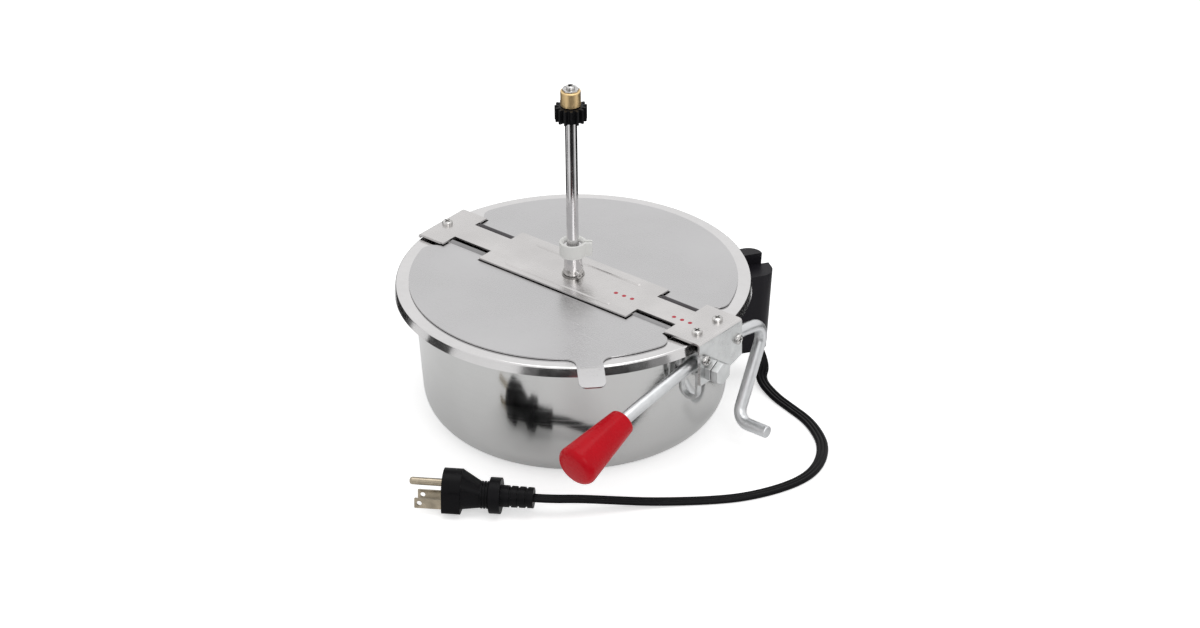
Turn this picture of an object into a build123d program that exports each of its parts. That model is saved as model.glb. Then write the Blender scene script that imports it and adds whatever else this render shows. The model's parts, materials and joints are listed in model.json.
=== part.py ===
from build123d import *
import os
from math import atan2, cos, degrees, radians, sin, tan

# Kettle of a popcorn machine: a heated stainless pan with two flap lids, hung from a bent
# rod, and stirred by a gear-driven shaft that stands up through its crossbar.
# Origin: middle of the base, on the surface it stands on. +X runs along the crossbar
# towards the bracket and the rod, +Z is up, and the lid with the lift tab is on the -Y side.

# ---------------------------------------------------------------- driving sizes
# pan, shell and base
SHEET = 0.9
RIM_RADIUS = 113.0
RIM_TOP = 91.5
RIM_BAND = 6.5
RIM_OVERHANG = 11.8
RIM_EDGE_ROUND = 1.2
WALL_GAP = 4.6
PAN_TAPER = 3.6
PAN_FLOOR = 38.0
PAN_CORNER = 18.0
PAN_NECK_ROUND = 2.4
WALL_TAPER = 5.8
WALL_CORNER = 20.6
WALL_NECK_ROUND = 1.0
BASE_RING = 39.4
BASE_LAP = 12.0
BASE_COVER_GAUGE = 1.2
BASE_SCREW_COUNT = 6
BASE_SCREW_RADIUS = 2.0
BASE_SCREW_HEAD_RADIUS = 3.9
BASE_SCREW_LENGTH = 5.0
VENT_COUNT = 8
VENT_LENGTH = 16.0
VENT_WIDTH = 3.0
VENT_INSET = 22.0
RIM_FIT = 0.4

# heater stack under the pan
HEAT_PLATE_INSET = 1.0
HEAT_PLATE_GAUGE = 4.0
ELEMENT_INSET = 16.0
ELEMENT_TUBE_RADIUS = 3.5
ELEMENT_GAP_ANGLE = 26.0
ELEMENT_PIN_RADIUS = 1.5
CLAMP_DISC_INSET = 6.0
CLAMP_DISC_OPENING = 22.0
CLAMP_DISC_GAUGE = 1.6
STUD_COUNT = 3
STUD_CIRCLE_RADIUS = 40.0
STUD_RADIUS = 2.5
STUD_THREAD_OUT = 3.0
NUT_ACROSS_FLATS = 8.0
NUT_HEIGHT = 4.0
THERMOSTAT_RADIUS = 8.5
THERMOSTAT_CAP = 3.2
THERMOSTAT_BODY_RADIUS = 7.4
THERMOSTAT_BODY = 7.5
THERMOSTAT_EAR_SPAN = 27.0
THERMOSTAT_EAR_WIDTH = 8.0
THERMOSTAT_EAR_GAUGE = 0.8
THERMOSTAT_TAG_HEIGHT = 7.0
THERMOSTAT_TAG_WIDTH = 4.8
THERMOSTAT_TAG_GAUGE = 0.8
THERMOSTAT_TAG_SPREAD = 7.0
FUSE_RADIUS = 2.1
FUSE_LENGTH = 13.0
FUSE_LEAD_RADIUS = 0.6
FUSE_LEAD_LENGTH = 7.0
FUSE_CIRCLE_RADIUS = 47.0
FUSE_ANGLE = 160.0

# crossbar with its end bracket
BAR_SHEET = 1.5
BAR_TOP = 94.4
BAR_LEFT_INSET = 1.4
BRACKET_STANDOFF = 5.3
BAR_WIDTH = 42.6
BAR_BEND = 2.2
BRACKET_FOOT = 65.5
BRACKET_REAR_FOOT = 69.0
BRACKET_SLANT_START = 9.0
PAD_HEIGHT = 0.8
PAD_TOP = 87.5
PAD_WAIST = (-1.3, 74.4)
NOTCH_LENGTH = 30.5
NOTCH_INSET = 13.35
NOTCH_DEPTH = 11.5
BEAD_LENGTH = 86.0
BEAD_WIDTH = 3.6
BEAD_SLOPE = 40.0
BEAD_HEIGHT = 0.7
BEAD_OFFSET = 15.2
LEFT_SCREW_INSET = 7.6
RIGHT_SCREW_INSET = 5.4
RIGHT_SCREW_SPREAD = 20.2
BRACKET_SCREW_SPREAD = 33.0
BRACKET_SCREW_HEIGHT = 82.0
SCREW_RADIUS = 1.5
SCREW_HEAD_RADIUS = 3.4
SCREW_HEAD_HEIGHT = 2.3
SCREW_HOLE_FIT = 0.2
SCREW_HEAD_ROUNDING = 0.55
CROSS_SLOT_SPAN = 1.15
CROSS_SLOT_WIDTH = 0.26
CROSS_SLOT_DEPTH = 0.55
SPACER_RADIUS = 4.2
RIM_NUT_ACROSS_FLATS = 5.5
RIM_NUT_HEIGHT = 2.4
RIM_SCREW_TAIL = 0.8
BRACKET_SCREW_LENGTH = 4.4

# lids and their hinge wires
LID_INSET = 9.15
LID_EDGE = 22.2
LID_CORNER = 9.0
LID_SEAT_GAP = 0.3
TAB_ANGLE = -45.0
TAB_WIDTH = 16.6
TAB_OVERHANG = 0.8
TAB_REACH = 18.5
TAB_DROOP = 12.0
TAB_BEND_ROUND = 14.0
TAB_ROOT_ROUND = 7.0
TAB_TIP_ROUND = 4.5
HINGE_WIRE_RADIUS = 1.25
HINGE_WIRE_LENGTH = 40.0
HINGE_OFFSET = 13.7
HINGE_FIT = 0.05
KNUCKLE_SIDE_GAP = 0.9

# bent rod, its grip and the clamp that holds it
ROD_RADIUS = 4.0
ROD_DEPTH = 8.3
CRANK_BEND = 10.0
JOURNAL_BEND = 9.0
BOW_ROUND = 200.0
SHOULDER_ROUND = 80.0
GRIP_TIP = (-133.4, 55.6)
ROD_BOW = (-82.0, 68.8)
ROD_CLAMPED = (-10.0, 78.0)
ROD_SHOULDER = (30.0, 78.8)
CRANK_TOP = (56.0, 73.2)
CRANK_FOOT = (27.4, 15.0)
JOURNAL_REACH = 24.4
GRIP_LENGTH = 48.8
GRIP_TIP_RADIUS = 13.9
GRIP_NECK_RADIUS = 8.5
GRIP_TIP_ROUND = 4.6
GRIP_NECK_ROUND = 1.2
GRIP_CROWN = 1.6
GRIP_WALL = 6.0
CLAMP_FRONT = -15.0
CLAMP_REAR = 16.5
CLAMP_TOP = 84.5
CLAMP_BOTTOM = 66.0
CLAMP_BOLT_PLACE = (-11.2, 73.4)
CLAMP_BOLT_RADIUS = 3.0
CLAMP_BOLT_FLATS = 13.0
CLAMP_HEAD_HEIGHT = 4.8
CLAMP_NUT_HEIGHT = 4.8
CLAMP_NUT_GAP = 0.5
CLAMP_TIP_DEPTH = 3.9
CLAMP_CORNER = 2.0
ROD_CHAMFER = 0.6
STAY_WIDTH = 4.0
STAY_GAUGE = 2.2
STAY_SPAN = 14.9
STAY_LAP_TOP = 74.0
STAY_FOOT = 52.9
STAY_BEND = 7.2

# drive shaft, gear, sleeve and stirrer
SHAFT_RADIUS = 3.8
SHAFT_FOOT = 104.5
SLEEVE_RADIUS = 5.8
SLEEVE_TOP = 115.6
SLEEVE_GAP = 0.3
STOP_RING_RADIUS = 6.35
STOP_RING_HEIGHT = 3.7
SET_SCREW_RADIUS = 1.75
SET_SCREW_REACH = 9.6
SET_SCREW_ANGLE = -26.0
SOCKET_RADIUS = 1.1
SOCKET_DEPTH = 1.4
SHAFT_CHAMFER = 0.8
COLLAR_RADIUS = 8.5
COLLAR_BOTTOM = 108.4
COLLAR_HEIGHT = 9.2
COLLAR_LIP = 1.2
COLLAR_EAR_REACH = 12.2
COLLAR_EAR_GAUGE = 1.9
COLLAR_SPLIT = 1.2
COLLAR_ANGLE = 36.0
STIRRER_SHAFT_RADIUS = 4.0
STIRRER_SHAFT_FOOT = 42.0
STIRRER_SHAFT_TOP = 104.0
BUSH_WALL = 1.4
BUSH_FLANGE_RADIUS = 7.2
BUSH_FLANGE = 0.8
BUSH_DEPTH = 4.0
RUNNING_FIT = 0.05
GEAR_FOOT = 203.6
GEAR_HEIGHT = 9.5
GEAR_TEETH = 15
GEAR_TIP_RADIUS = 10.1
GEAR_ROOT_RADIUS = 7.6
TOOTH_ROOT_WIDTH = 2.5
TOOTH_TIP_WIDTH = 1.3
GEAR_PIN_RADIUS = 1.0
GEAR_PIN_LENGTH = 14.6
JOURNAL_RADIUS = 3.2
BEARING_RADIUS = 6.35
BEARING_HEIGHT = 10.6
BEARING_SIDE_GAP = 0.1
BEARING_CHAMFER = 0.5
TOP_WASHER_RADIUS = 5.4
TOP_WASHER_GAUGE = 1.0
TOP_SCREW_HEAD_RADIUS = 2.9
TOP_SCREW_HEAD_HEIGHT = 2.1
TOP_SCREW_LENGTH = 12.0
TOP_SCREW_RADIUS = 1.5
HUB_RADIUS = 8.5
HUB_HEIGHT = 14.0
HUB_FOOT = 44.0
HUB_CHAMFER = 1.0
STIRRER_ANGLE = -90.0
ARM_SOCKET = 3.6
ARM_RADIUS = 2.5
ARM_HIGH = 52.0
ARM_LOW = 43.4
ARM_STEP_START = 18.0
ARM_STEP_END = 30.0
ARM_INSET = 13.0
ARM_TIP_RUN = 6.5
ARM_TIP_HEIGHT = 57.0
ARM_BEND = 6.0
SHORT_ARM_INSET = 39.0

# terminal housing on the wall
BOX_ANGLE = 57.0
BOX_FOOT = 22.0
BOX_SHOULDER = 76.9
BOX_TOP = 84.6
BOX_NEAR = -11.6
BOX_STEP = 4.1
BOX_FAR = 13.5
BOX_DEPTH = 30.9
BOX_FOOT_INSET = 3.8
BOX_STEP_DEPTH = 5.0
BOX_WALL = 1.8
BOX_NEAR_ROUND = 9.5
BOX_FAR_ROUND = 9.0
BASE_PLATE_STANDOFF = 2.8
BASE_PLATE_HALF = 9.5
BASE_PLATE_FOOT = 38.5
BASE_PLATE_GAP = 0.2
BOX_SCREW_HEIGHTS = (46.0, 70.0)
BOX_SCREW_BITE = 2.5
BOX_SCREW_ACROSS = -1.2
BOX_SCREW_SINK = 3.0
BOX_SCREW_FIT = 0.2
BLOCK_REACH = 9.0
BLOCK_WIDTH = 17.0
BLOCK_HEIGHT = 12.0
BLOCK_PLACE = (2.8, 58.0)
LEAD_ANGLE = 60.0
LEAD_RADIUS = 1.1
LEAD_SPACING = 2.6
LEAD_DROP_STANDOFF = 4.0
LEAD_BEND = 4.0
EARTH_LEAD_INSET = 6.0
EARTH_LEAD_BEND = 2.2
GROMMET_RADIUS = 5.6
GROMMET_HOLE = 4.6
GROMMET_BORE = 3.9
GROMMET_LIP = 1.2
GROMMET_GROOVE = 1.8

# power cord, strain relief and plug
CORD_WIDTH = 7.5
CORD_THICKNESS = 3.0
RELIEF_LENGTH = 20.0
RELIEF_TOP_SIZE = (10.4, 6.2)
RELIEF_TIP_SIZE = (9.0, 4.4)
RELIEF_CORNER = 1.8
RELIEF_TIP_INSET = 8.9
RELIEF_TIP_SIDE = -3.5
PLUG_LENGTH = 56.0
PLUG_ROLL = -7.0
PLUG_FACE_WIDTH = 24.0
PLUG_FACE_TOP = 15.6
PLUG_FACE_DROP = 10.0
PLUG_FOOT_ROUND = 3.0
PLUG_BACK_INSET = 1.0
PLUG_BACK_ROUND = 9.0
PLUG_WAIST_ROUND = 5.5
PLUG_BLOCK = 11.7
PLUG_WAIST = 23.3
PLUG_WAIST_RADIUS = 7.5
PLUG_RIDGES = 3
PLUG_RIDGE_RADIUS = 8.6
PLUG_GRIP_END = 28.8
PLUG_SHOULDER_END = 35.8
PLUG_SHOULDER_RADIUS = 11.3
PLUG_TAIL_RADIUS = 6.9
PLUG_TAIL_TIP_RADIUS = 6.5
PLUG_TAIL_GROOVES = 3
PLUG_GROOVE = 1.4
PLUG_GROOVE_DEPTH = 0.8
BLADE_WIDTH = 6.35
BLADE_GAUGE = 1.5
BLADE_LENGTH = 17.5
BLADE_SPACING = 12.7
BLADE_HOLE_RADIUS = 1.6
BLADE_ROOT = 4.0
BLADE_CHAMFER = 0.5
GROUND_PIN_RADIUS = 2.4
GROUND_PIN_LENGTH = 21.4
GROUND_PIN_ROUND = 1.8
GROUND_PIN_RISE = 11.9
BLADE_DROP = 5.4

# cord's centreline from the strain relief's tip to the plug: steps from the tip, heights from the floor
CORD_STEPS = [
    (0.0, 0.0, 18.3),
    (6.4, -1.3, 10.0),
    (8.2, -9.4, 3.4),
    (26.8, -18.2, 1.5),
    (43.5, -23.3, 1.5),
    (60.1, -28.2, 1.5),
    (74.4, -36.1, 1.5),
    (87.4, -46.6, 1.5),
    (97.0, -61.1, 1.5),
    (102.0, -76.8, 1.5),
    (101.3, -92.4, 1.5),
    (95.3, -110.0, 1.5),
    (85.5, -127.4, 1.5),
    (73.5, -140.9, 1.5),
    (59.5, -153.9, 1.5),
    (44.0, -170.2, 3.2),
    (29.8, -186.2, 6.6),
    (17.0, -202.0, 10.4),
    (5.6, -214.4, 11.8),
    (-3.8, -220.2, 11.8),
]

# ---------------------------------------------------------------- derived sizes
WALL_TOP_RADIUS = RIM_RADIUS - RIM_OVERHANG
WALL_FOOT_RADIUS = WALL_TOP_RADIUS - WALL_TAPER
PAN_MOUTH_RADIUS = WALL_TOP_RADIUS - WALL_GAP
PAN_FOOT_RADIUS = PAN_MOUTH_RADIUS - PAN_TAPER
BASE_OPENING_RADIUS = WALL_FOOT_RADIUS - BASE_RING
VENT_CIRCLE_RADIUS = BASE_OPENING_RADIUS - VENT_INSET
HEAT_PLATE_RADIUS = PAN_FOOT_RADIUS - PAN_CORNER - HEAT_PLATE_INSET
ELEMENT_RING_RADIUS = HEAT_PLATE_RADIUS - ELEMENT_INSET
CLAMP_DISC_RADIUS = HEAT_PLATE_RADIUS - CLAMP_DISC_INSET
EARTH_LEAD_REACH = HEAT_PLATE_RADIUS - EARTH_LEAD_INSET
BAR_LEFT = BAR_LEFT_INSET - RIM_RADIUS
BAR_RIGHT = RIM_RADIUS + BRACKET_STANDOFF
LEFT_SCREW_X = LEFT_SCREW_INSET - RIM_RADIUS
RIGHT_SCREW_X = RIM_RADIUS - RIGHT_SCREW_INSET
LID_RADIUS = RIM_RADIUS - LID_INSET
TAB_BEND_RADIUS = RIM_RADIUS + TAB_OVERHANG
NOTCH_END = LID_RADIUS - NOTCH_INSET
NOTCH_START = NOTCH_END - NOTCH_LENGTH
ROD_PLANE = BAR_RIGHT - ROD_DEPTH
JOURNAL_END = ROD_PLANE + JOURNAL_REACH
CLAMP_TIP = BAR_RIGHT - CLAMP_TIP_DEPTH
ARM_REACH = PAN_FOOT_RADIUS - ARM_INSET
ARM_TIP_REACH = ARM_REACH + ARM_TIP_RUN
SHORT_ARM_REACH = PAN_FOOT_RADIUS - SHORT_ARM_INSET
BOX_REACH = WALL_TOP_RADIUS + BOX_DEPTH
BOX_FOOT_REACH = BOX_REACH - BOX_FOOT_INSET
BOX_HIGH_REACH = BOX_REACH - BOX_STEP_DEPTH
BASE_PLATE_REACH = WALL_TOP_RADIUS + BASE_PLATE_STANDOFF
LEAD_DROP_RADIUS = BASE_PLATE_REACH + LEAD_DROP_STANDOFF
BASE_PLATE_HEIGHT = BOX_SHOULDER - BOX_WALL - BASE_PLATE_GAP - BASE_PLATE_FOOT
PAN_FLANGE_UNDER = RIM_TOP - SHEET
SHELL_FLANGE_UNDER = PAN_FLANGE_UNDER - SHEET
BAR_UNDER = BAR_TOP - BAR_SHEET
HINGE_HEIGHT = BAR_UNDER - HINGE_WIRE_RADIUS
LID_BOTTOM = RIM_TOP + LID_SEAT_GAP
KNUCKLE_RADIUS = HINGE_WIRE_RADIUS + HINGE_FIT + SHEET
BRACKET_INNER = BAR_RIGHT - BAR_SHEET
PAN_UNDER = PAN_FLOOR - SHEET
HEAT_PLATE_UNDER = PAN_UNDER - HEAT_PLATE_GAUGE
ELEMENT_HEIGHT = HEAT_PLATE_UNDER - ELEMENT_TUBE_RADIUS
CLAMP_DISC_TOP = ELEMENT_HEIGHT - ELEMENT_TUBE_RADIUS
CLAMP_DISC_UNDER = CLAMP_DISC_TOP - CLAMP_DISC_GAUGE
GEAR_TOP = GEAR_FOOT + GEAR_HEIGHT
BEARING_FOOT = GEAR_TOP + BEARING_SIDE_GAP
BEARING_TOP = BEARING_FOOT + BEARING_HEIGHT
SHAFT_TOP = BEARING_TOP + BEARING_SIDE_GAP
SLEEVE_FOOT = BAR_TOP + BUSH_FLANGE + SLEEVE_GAP
LEAD_HEIGHT = ELEMENT_HEIGHT
BOX_OUTWARD = Vector(cos(radians(BOX_ANGLE)), sin(radians(BOX_ANGLE)), 0)
BOX_ACROSS = Vector(-sin(radians(BOX_ANGLE)), cos(radians(BOX_ANGLE)), 0)
CORD_START = BOX_OUTWARD * (BOX_REACH - RELIEF_TIP_INSET) + BOX_ACROSS * RELIEF_TIP_SIDE
CORD_ROUTE = [CORD_START + Vector(*step) for step in CORD_STEPS]
PLUG_TAIL = CORD_ROUTE[-1]
PLUG_DIRECTION = (CORD_ROUTE[-2] - PLUG_TAIL).normalized()
PLUG_ACROSS = Vector(-PLUG_DIRECTION.Y, PLUG_DIRECTION.X, 0).rotate(
    Axis((0, 0, 0), PLUG_DIRECTION), PLUG_ROLL
)
PLUG_UP = PLUG_DIRECTION.cross(PLUG_ACROSS)
PLUG_FACE = PLUG_TAIL - PLUG_DIRECTION * PLUG_LENGTH


def wall_radius(height):
    """Outside radius of the tapered kettle wall at a height."""
    return WALL_FOOT_RADIUS + (WALL_TOP_RADIUS - WALL_FOOT_RADIUS) * height / SHELL_FLANGE_UNDER


def radial_plane(angle, radius, height):
    """Plane that looks outwards along a radius: its z is radial and its y is up."""
    outward = Vector(cos(radians(angle)), sin(radians(angle)), 0)
    return Plane(
        origin=outward * radius + Vector(0, 0, height),
        x_dir=(-outward.Y, outward.X, 0),
        z_dir=outward,
    )


def plug_plane(distance):
    """Plane across the plug at a distance behind its face: x is across and y is up."""
    return Plane(
        origin=PLUG_FACE + PLUG_DIRECTION * distance,
        x_dir=PLUG_ACROSS,
        z_dir=PLUG_DIRECTION,
    )


def cord_radii(route):
    """Bend radius at each inner corner: as large as its two runs allow."""
    radii = []
    for before, here, after in zip(route, route[1:], route[2:]):
        into = here - before
        away = after - here
        turn = radians(into.get_angle(away))
        radii.append(0.45 * min(into.length, away.length) / tan(turn / 2))
    return radii


def save(part, name):
    """Label a finished piece and write it to its own file."""
    part.label = name
    export_step(part, f"parts/{name}.step")


def pan_head_screw(radius, length, head_radius, head_height):
    """Cross-head screw standing on its tip, with the underside of its head at z = 0."""
    with BuildPart() as screw:
        Cylinder(head_radius, head_height, align=(Align.CENTER, Align.CENTER, Align.MIN))
        fillet(screw.edges().group_by(Axis.Z)[-1], head_height * SCREW_HEAD_ROUNDING)
        Cylinder(radius, length, align=(Align.CENTER, Align.CENTER, Align.MAX))
        with BuildSketch(Plane.XY.offset(head_height)):
            Rectangle(head_radius * CROSS_SLOT_SPAN, head_radius * CROSS_SLOT_WIDTH)
            Rectangle(head_radius * CROSS_SLOT_WIDTH, head_radius * CROSS_SLOT_SPAN)
        extrude(amount=-head_height * CROSS_SLOT_DEPTH, mode=Mode.SUBTRACT)
    return screw.part


def hex_nut(across_flats, height, bore_radius):
    """Hexagon nut with its lower face at z = 0."""
    with BuildPart() as nut:
        with BuildSketch():
            RegularPolygon(across_flats / 2, 6, major_radius=False)
            Circle(bore_radius, mode=Mode.SUBTRACT)
        extrude(amount=height)
    return nut.part


os.makedirs("parts", exist_ok=True)

# ---------------------------------------------------------------- shell, pan and base
screw_places = [
    (LEFT_SCREW_X, 0),
    (RIGHT_SCREW_X, -RIGHT_SCREW_SPREAD / 2),
    (RIGHT_SCREW_X, RIGHT_SCREW_SPREAD / 2),
]

# Solid drum of the wall's outside, from which things that seat on the wall are cut.
with BuildPart() as wall_form:
    with BuildSketch(Plane.XZ) as wall_outline:
        with BuildLine():
            Polyline(
                (0, 0),
                (WALL_FOOT_RADIUS, 0),
                (WALL_TOP_RADIUS, SHELL_FLANGE_UNDER),
                (0, SHELL_FLANGE_UNDER),
                close=True,
            )
        make_face()
        fillet(wall_outline.vertices().sort_by_distance((WALL_FOOT_RADIUS, 0))[0], WALL_CORNER)
    revolve(axis=Axis.Z)

# Flush screws that hold the base cover.
base_screw_circle = BASE_OPENING_RADIUS + BASE_LAP / 2
with BuildPart() as flush_screw:
    with BuildSketch(Plane.XZ):
        with BuildLine():
            Polyline(
                (0, 0),
                (BASE_SCREW_HEAD_RADIUS, 0),
                (BASE_SCREW_RADIUS, BASE_SCREW_HEAD_RADIUS - BASE_SCREW_RADIUS),
                (BASE_SCREW_RADIUS, BASE_SCREW_LENGTH),
                (0, BASE_SCREW_LENGTH),
                close=True,
            )
        make_face()
    revolve(axis=Axis.Z)
with BuildPart() as base_screws:
    with PolarLocations(base_screw_circle, BASE_SCREW_COUNT):
        add(flush_screw.part)
save(base_screws.part, "base_screws")

# Outer shell: dished drum with an open base and a flange under the rim.
with BuildPart() as kettle_shell:
    with BuildSketch(Plane.XZ):
        with BuildLine():
            FilletPolyline(
                (BASE_OPENING_RADIUS, 0),
                (WALL_FOOT_RADIUS, 0),
                (WALL_TOP_RADIUS, SHELL_FLANGE_UNDER),
                (RIM_RADIUS - SHEET - RIM_FIT, SHELL_FLANGE_UNDER),
                radius=[WALL_CORNER, WALL_NECK_ROUND],
            )
            offset(amount=SHEET, side=Side.LEFT)
        make_face()
    revolve(axis=Axis.Z)
    with BuildSketch(radial_plane(LEAD_ANGLE, PAN_FOOT_RADIUS, LEAD_HEIGHT)):
        Circle(GROMMET_HOLE)
    extrude(amount=WALL_TOP_RADIUS - PAN_FOOT_RADIUS, mode=Mode.SUBTRACT)
    with BuildSketch(Plane.XY.offset(RIM_TOP)):
        with Locations(*screw_places):
            Circle(SCREW_RADIUS + SCREW_HOLE_FIT)
    extrude(amount=SHELL_FLANGE_UNDER - RIM_TOP, mode=Mode.SUBTRACT)
    add(base_screws.part, mode=Mode.SUBTRACT)
save(kettle_shell.part, "kettle_shell")

# Inner pan: the popping bowl, with a flange rolled down over the shell's.
with BuildPart() as inner_pan:
    with BuildSketch(Plane.XZ):
        with BuildLine():
            FilletPolyline(
                (0, PAN_FLOOR),
                (PAN_FOOT_RADIUS, PAN_FLOOR),
                (PAN_MOUTH_RADIUS, RIM_TOP),
                (RIM_RADIUS, RIM_TOP),
                (RIM_RADIUS, RIM_TOP - RIM_BAND),
                radius=[PAN_CORNER, PAN_NECK_ROUND, RIM_EDGE_ROUND],
            )
            offset(amount=SHEET, side=Side.RIGHT)
        make_face()
    revolve(axis=Axis.Z)
    with PolarLocations(STUD_CIRCLE_RADIUS, STUD_COUNT):
        with Locations((0, 0, PAN_UNDER)):
            Cylinder(
                STUD_RADIUS,
                PAN_UNDER - CLAMP_DISC_UNDER + NUT_HEIGHT + STUD_THREAD_OUT,
                align=(Align.CENTER, Align.CENTER, Align.MAX),
            )
    with BuildSketch(Plane.XY.offset(RIM_TOP)):
        with Locations(*screw_places):
            Circle(SCREW_RADIUS + SCREW_HOLE_FIT)
    extrude(amount=-SHEET, mode=Mode.SUBTRACT)
save(inner_pan.part, "inner_pan")

# Base cover: vented disc that laps the shell's base ring from inside.
with BuildPart() as base_cover:
    with BuildSketch(Plane.XY.offset(SHEET)):
        Circle(BASE_OPENING_RADIUS + BASE_LAP)
        with PolarLocations(VENT_CIRCLE_RADIUS, VENT_COUNT):
            SlotOverall(VENT_LENGTH, VENT_WIDTH, mode=Mode.SUBTRACT)
    extrude(amount=BASE_COVER_GAUGE)
    add(base_screws.part, mode=Mode.SUBTRACT)
save(base_cover.part, "base_cover")

# ---------------------------------------------------------------- heater stack
with BuildPart() as heat_plate:
    with BuildSketch(Plane.XY.offset(HEAT_PLATE_UNDER)):
        Circle(HEAT_PLATE_RADIUS)
        with PolarLocations(STUD_CIRCLE_RADIUS, STUD_COUNT):
            Circle(STUD_RADIUS + SCREW_HOLE_FIT, mode=Mode.SUBTRACT)
    extrude(amount=HEAT_PLATE_GAUGE)
save(heat_plate.part, "heat_plate")

element_start = LEAD_ANGLE + ELEMENT_GAP_ANGLE / 2
half_gap = radians(ELEMENT_GAP_ANGLE / 2)
pin_length = (ELEMENT_RING_RADIUS * sin(half_gap) - LEAD_SPACING - LEAD_RADIUS) / cos(half_gap)
with BuildPart() as heating_element:
    with BuildLine() as element_line:
        CenterArc((0, 0, ELEMENT_HEIGHT), ELEMENT_RING_RADIUS, element_start, 360 - ELEMENT_GAP_ANGLE)
    with BuildSketch(Plane(origin=element_line.line @ 0, z_dir=element_line.line % 0)):
        Circle(ELEMENT_TUBE_RADIUS)
    sweep()
    for place in (0, 1):
        outward = (element_line.line % place) * (2 * place - 1)
        with BuildSketch(Plane(origin=element_line.line @ place, z_dir=outward)):
            Circle(ELEMENT_PIN_RADIUS)
        extrude(amount=pin_length)
save(heating_element.part, "heating_element")

with BuildPart() as element_clamp:
    with BuildSketch(Plane.XY.offset(CLAMP_DISC_UNDER)):
        Circle(CLAMP_DISC_RADIUS)
        Circle(CLAMP_DISC_OPENING, mode=Mode.SUBTRACT)
        with PolarLocations(STUD_CIRCLE_RADIUS, STUD_COUNT):
            Circle(STUD_RADIUS + SCREW_HOLE_FIT, mode=Mode.SUBTRACT)
    extrude(amount=CLAMP_DISC_GAUGE)
save(element_clamp.part, "element_clamp")

with BuildPart() as clamp_nuts:
    with PolarLocations(STUD_CIRCLE_RADIUS, STUD_COUNT):
        with Locations((0, 0, CLAMP_DISC_UNDER - NUT_HEIGHT)):
            add(hex_nut(NUT_ACROSS_FLATS, NUT_HEIGHT, STUD_RADIUS))
save(clamp_nuts.part, "clamp_nuts")

# Snap-disc thermostat: cap against the heat plate, body and two tags below.
with BuildPart() as thermostat:
    with Locations((0, 0, HEAT_PLATE_UNDER)):
        Cylinder(THERMOSTAT_RADIUS, THERMOSTAT_CAP, align=(Align.CENTER, Align.CENTER, Align.MAX))
    with Locations((0, 0, HEAT_PLATE_UNDER - THERMOSTAT_CAP)):
        Cylinder(THERMOSTAT_BODY_RADIUS, THERMOSTAT_BODY, align=(Align.CENTER, Align.CENTER, Align.MAX))
    with BuildSketch(Plane.XY.offset(HEAT_PLATE_UNDER)):
        SlotOverall(THERMOSTAT_EAR_SPAN, THERMOSTAT_EAR_WIDTH)
    extrude(amount=-THERMOSTAT_EAR_GAUGE)
    with Locations((0, 0, HEAT_PLATE_UNDER - THERMOSTAT_CAP - THERMOSTAT_BODY)):
        with GridLocations(THERMOSTAT_TAG_SPREAD, 0, 2, 1):
            Box(
                THERMOSTAT_TAG_GAUGE,
                THERMOSTAT_TAG_WIDTH,
                THERMOSTAT_TAG_HEIGHT,
                align=(Align.CENTER, Align.CENTER, Align.MAX),
            )
save(thermostat.part, "thermostat")

# Thermal fuse: a small capsule with a lead at each end, against the clamp disc.
with BuildPart() as thermal_fuse:
    fuse_start = FUSE_CIRCLE_RADIUS - FUSE_LENGTH / 2
    with BuildSketch(radial_plane(FUSE_ANGLE, fuse_start, CLAMP_DISC_UNDER - FUSE_RADIUS)):
        Circle(FUSE_RADIUS)
    extrude(amount=FUSE_LENGTH)
    with BuildSketch(
        radial_plane(
            FUSE_ANGLE,
            FUSE_CIRCLE_RADIUS - FUSE_LENGTH / 2 - FUSE_LEAD_LENGTH,
            CLAMP_DISC_UNDER - FUSE_RADIUS,
        )
    ):
        Circle(FUSE_LEAD_RADIUS)
    extrude(amount=FUSE_LENGTH + 2 * FUSE_LEAD_LENGTH)
save(thermal_fuse.part, "thermal_fuse")

# ---------------------------------------------------------------- crossbar
bar_half = BAR_WIDTH / 2
bracket_screw_places = [
    (-BRACKET_SCREW_SPREAD / 2, BRACKET_SCREW_HEIGHT),
    (BRACKET_SCREW_SPREAD / 2, BRACKET_SCREW_HEIGHT),
]
bush_radius = STIRRER_SHAFT_RADIUS + RUNNING_FIT + BUSH_WALL
# The end bracket's face seen along -X, so its sketch x runs towards +Y.
bracket_face = Plane(origin=(BAR_RIGHT, 0, 0), x_dir=(0, 1, 0), z_dir=(1, 0, 0))

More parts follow.
